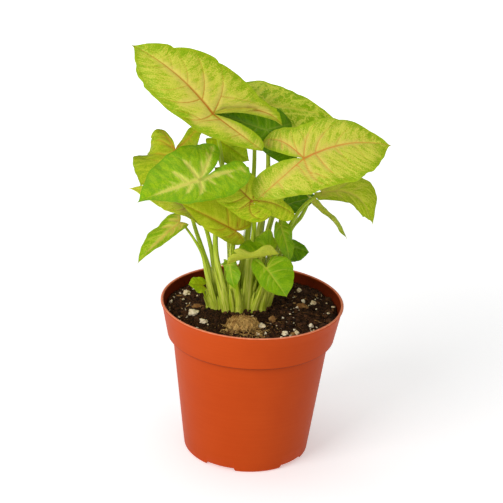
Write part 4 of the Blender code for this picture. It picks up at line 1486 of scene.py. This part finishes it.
def add_coir():
    """The tan rooting plug in front of the stems, and loose fibres over the soil."""
    low, high = box_of("coir_plug")
    centre = (low + high) / 2 - Vector((0, 3.0, 1.5))
    size = high - low + Vector((1.2, 2.6, -0.6))
    chance = random.Random(SEED + 3)
    coir = grit_shader("coir", tone(250, 210, 126), tone(146, 98, 44), tone(70, 40, 16), 0.6)
    bm = bits()
    made = rock(bm, centre, size, Matrix.Identity(3), chance, 0.12, 6)
    layer = bm.verts.layers.float["tint"]
    for vert in made:
        place = vert.co * 0.55
        lumps = noise.noise(place) + 0.8 * noise.noise(place * 2.3) + 0.5 * noise.noise(place * 5)
        vert.co += (vert.co - centre).normalized() * (1.25 * lumps - 0.7)
        # Painted shade: the tint makes the plug darker in its dents and towards its back.
        back = (vert.co.y - centre.y) / size.y
        vert[layer] = 0.2 - 1.8 * lumps + 1.4 * back
    finish_bits("coir_plug_body", bm, coir, ("coir_plug",), sharp=60)

    def on_plug(chance):
        turn = chance.uniform(0, 6.3)
        tilt = chance.uniform(0.0, 1.45)
        out = Vector((math.cos(turn) * math.sin(tilt), math.sin(turn) * math.sin(tilt), math.cos(tilt)))
        reach = chance.uniform(0.44, 0.60)
        where = centre + Vector([a * b * reach for a, b in zip(out, size)])
        direction = out.cross(Vector([chance.gauss(0, 1) for _ in range(3)])).normalized()
        return where, (direction + out * chance.gauss(0, 0.2)).normalized()

    def by_plug(chance):
        x = centre.x + chance.gauss(1.0, 5.6)
        y = max(centre.y + 2.0 - abs(chance.gauss(0, 7.0)), -43.0)
        direction = heading(chance.uniform(0, 6.3), chance.uniform(-0.3, 0.3))
        return Vector((x, y, soil_height(x, y) + chance.uniform(-0.3, 1.0))), direction

    def on_soil(chance):
        x, y = scatter(chance, 1, clear=1.0)[0]
        direction = heading(chance.uniform(0, 6.3), chance.uniform(-0.2, 0.2))
        return Vector((x, y, soil_height(x, y) + 0.25)), direction

    add_fibres("coir_fibres", COIR_FIBRES, on_plug, 5.4, 0.25, coir, chance)
    add_fibres("coir_litter", COIR_LITTER, by_plug, 3.6, 0.18, coir, chance)
    peat = grit_shader("peat_fibre", tone(150, 104, 54), tone(56, 32, 14), tone(40, 22, 10), 0.3)
    add_fibres("peat_fibres", PEAT_FIBRES, on_soil, 5.0, 0.12, peat, chance)


class Tissue:
    """Stem parts gathered ring by ring into one piece."""

    def __init__(self):
        self.points, self.faces, self.rise, self.fibre = [], [], [], []

    def add_ring(self, points, rise, fibre):
        self.points.extend(points)
        self.rise.extend([rise] * len(points))
        self.fibre.extend(np.column_stack(fibre))


def add_sheath(tissue, leaf, blade, turn, height):
    """A thin pointed sheath that wraps a stalk's foot on one side."""
    path, _, radii = stalk_path(leaf, blade)
    steps = np.linspace(0, 1, 22)
    across = np.linspace(-1, 1, 11)
    reached = travelled(path)
    line = np.column_stack([np.interp(steps * height, reached, path[:, k]) for k in range(3)])
    size = np.interp(steps * height, reached, radii)
    tangents = unit(np.gradient(line, axis=0))
    out = outward_of(leaf.foot)
    out = np.array([*rotated(out[0], out[1], turn), 0.0])
    grid = len(tissue.points) + np.arange(len(steps) * len(across)).reshape(len(steps), len(across))
    for skin in (1, -1):
        for ring, step in enumerate(steps):
            outward = unit(out - tangents[ring] * (out @ tangents[ring]))
            side = np.cross(tangents[ring], outward)
            bend = across * math.radians(76) * (1 - step**1.7) ** 0.8
            thick = 0.16 + 0.34 * (1 - across**2) * (1 - step**2)
            radius = size[ring] * 1.12 + 0.22 + 0.25 * step**2 + skin * thick * 0.5
            around = np.cos(bend)[:, None] * outward + 1.12 * np.sin(bend)[:, None] * side
            spread = bend * 1.7 + turn
            fibre = [spread, spread * 0, np.full(len(across), step * 1.2 + turn * 9)]
            tissue.add_ring(line[ring] + radius[:, None] * around, 0.03 + 0.14 * step, fibre)
    for face in grid_faces(grid):
        tissue.faces += [face, [point + grid.size for point in reversed(face)]]
    edge = [*grid[0], *grid[1:, -1], *grid[-1, -2::-1], *grid[-2:0:-1, 0]]
    tissue.faces += wall_faces([int(point) for point in edge], grid.size)


def add_shoot(tissue, near, far, chance):
    """A slim old stem between two stalks, which thins out to a blunt tip."""
    height = chance.uniform(12, 26)
    steps = np.linspace(0, 1, 20)
    share = chance.uniform(0.4, 0.6)
    lines = []
    for path in (near, far):
        reached = travelled(path)
        lines.append([np.interp(steps * height, reached, path[:, k]) for k in range(3)])
    line = (share * np.array(lines[0]) + (1 - share) * np.array(lines[1])).T
    girth = chance.uniform(1.5, 2.0)
    angles = np.linspace(0, 2 * math.pi, 14, endpoint=False)
    turn = chance.uniform(0, 6)
    ridges = 1 + 0.06 * np.cos(5 * angles + turn)
    tissue.faces += tube_faces(len(tissue.points), len(steps), len(angles))
    for ring, step in enumerate(steps):
        radius = girth * (1 - 0.45 * step) * math.sqrt(max(0.02, 1 - step**5)) * ridges
        offset = np.column_stack([radius * np.cos(angles), radius * np.sin(angles), 0 * angles])
        fibre = [np.cos(angles) * 1.6, np.sin(angles) * 1.6, np.full(len(angles), step + turn * 9)]
        tissue.add_ring(line[ring] + offset, 0.02 + 0.2 * step, fibre)


def add_crown():
    """Sheaths round the stalks' feet, short stem bases between them and soil against them."""
    chance = random.Random(SEED + 4)
    tissue = Tissue()
    for leaf in LEAVES:
        small = leaf.girth < 0.75
        close = 1 - 0.6 * smoothstep(np.linalg.norm(leaf.foot - CROWN_MIDDLE), 8, 15)
        for number in range(1 if small else 2):
            turn = chance.uniform(-0.5, 0.5) + (0.0 if small else (number - 0.5) * 1.5)
            height = chance.uniform(9, 14) if small else chance.uniform(24, 58) * close
            add_sheath(tissue, leaf, Blade(leaf), turn, height)
    paths = [stalk_path(leaf, Blade(leaf))[0] for leaf in LEAVES]
    for n, near in enumerate(paths):
        for far in paths[:n]:
            if np.linalg.norm(near[1, :2] - far[1, :2]) < SHOOT_GAP:
                add_shoot(tissue, near, far, chance)
    attributes = [
        ("rise", tissue.rise),
        ("hollow", np.zeros(len(tissue.points))),
        ("fibre", np.array(tissue.fibre)),
    ]
    stem = stem_shader("crown", 0.0)
    add_piece(
        "crown_sheaths", tissue.points, tissue.faces, stem, attributes, ("crown",), sharp=70,
    )
    bm = bits()
    foot = box_of("crown")[0].z + 0.2
    for leaf in LEAVES:
        turn = random_turn(chance, 0.3)
        rock(bm, (*leaf.foot, foot), STEM_BASE, turn, chance, rough=0.12, level=3)
    finish_bits("crown_stems", bm, stem, ("crown",), sharp=60)
    bm = bits()
    for _ in range(CROWN_CRUMBS):
        leaf = chance.choice(LEAVES)
        turn = chance.uniform(0, 6.3)
        reach = chance.uniform(2.4, 5.6)
        x = leaf.foot[0] + reach * math.cos(turn)
        y = leaf.foot[1] + reach * math.sin(turn)
        sizes = uneven(chance, chance.uniform(0.6, 2.2), 0.6, 1.4)
        lift = soil_height(x, y) + chance.uniform(0.0, 1.9)
        rock(bm, (x, y, lift), sizes, random_turn(chance), chance, 0.42, 1)
    crumbs = grit_shader("crown_crumbs", tone(112, 72, 40), tone(40, 23, 11), tone(20, 12, 6), 0.4)
    finish_bits("crown_crumbs", bm, crumbs)


def add_stage():
    """A pale floor, soft lights and the camera."""
    size = 6.0
    mesh = bpy.data.meshes.new("floor")
    corners = [(-size, -size, 0), (size, -size, 0), (size, size, 0), (-size, size, 0)]
    mesh.from_pydata(corners, [], [(0, 1, 2, 3)])
    floor = add_object("floor", mesh)
    paint = Shader(
        "floor", Base_Color=(0.9, 0.9, 0.9, 1), Roughness=0.9, Specular_IOR_Level=0.1,
        Emission_Color=(1.0, 1.0, 1.0, 1),
    )
    # Painted light: the floor glows, from 0.4 within 0.1 m of the middle to full strength a metre away,
    # so that it stays pale far from the lights.
    away = paint.node("VectorMath", operation="LENGTH")
    paint.plug(away.inputs[0], paint.place())
    paint.set("Emission Strength", paint.ramp(away.outputs["Value"], 0.1, 1.0, 0.40, 1.0))
    mesh.materials.append(paint.material)
    world = bpy.data.worlds.new("studio")
    bpy.context.scene.world = world
    world.use_nodes = True
    background = world.node_tree.nodes["Background"]
    background.inputs["Color"].default_value = (1.0, 1.0, 1.0, 1.0)
    background.inputs["Strength"].default_value = 0.32
    add_light("key", (-760, -780, 640), 650, 8.6)
    add_light("fill", (450, -950, 260), 700, 1.2)
    add_light("top", (-150, 100, 1300), 800, 3.6)
    add_camera()


def add_light(name, place, size, power):
    """A square light that looks at the middle of the plant."""
    data = bpy.data.lights.new(name, "AREA")
    data.size = size * MM
    data.energy = power
    light = add_object(name, data)
    light.location = Vector(place) * MM
    direction = Vector((0, 0, 120)) * MM - light.location
    light.rotation_euler = direction.to_track_quat("-Z", "Y").to_euler()


def add_camera():
    tilt = math.radians(CAMERA_ELEVATION)
    back = Vector((0, -math.cos(tilt), math.sin(tilt)))
    right = Vector((1, 0, 0))
    up = back.cross(right)
    place = back * CAMERA_DISTANCE + right * CAMERA_SIDE + up * CAMERA_LIFT + Vector((0, 0, Pot.top))
    right, up = rotated(right, up, -math.radians(CAMERA_ROLL))
    data = bpy.data.cameras.new("camera")
    data.lens = CAMERA_LENS
    data.sensor_width = SENSOR
    data.clip_start = 0.01
    camera = add_object("camera", data)
    axes = Matrix((right, up, back)).transposed()
    camera.matrix_world = Matrix.Translation(place * MM) @ axes.to_4x4()
    bpy.context.scene.camera = camera


def main():
    add_stage()
    add_pot()
    add_soil()
    add_grit()
    add_coir()
    add_crown()
    materials = {name: leaf_shader(name, look) for name, look in LOOKS.items()}
    plain_stem, blush_stem = stem_shader("plain", 0.15), stem_shader("blush", 0.8)
    for number, leaf in enumerate(LEAVES):
        blade = add_leaf(leaf, number, materials[leaf.look])
        add_stalk(leaf, blade, number, blush_stem if leaf.look in BLUSHING else plain_stem)
    scene = bpy.context.scene
    scene.view_settings.view_transform = "Standard"


main()
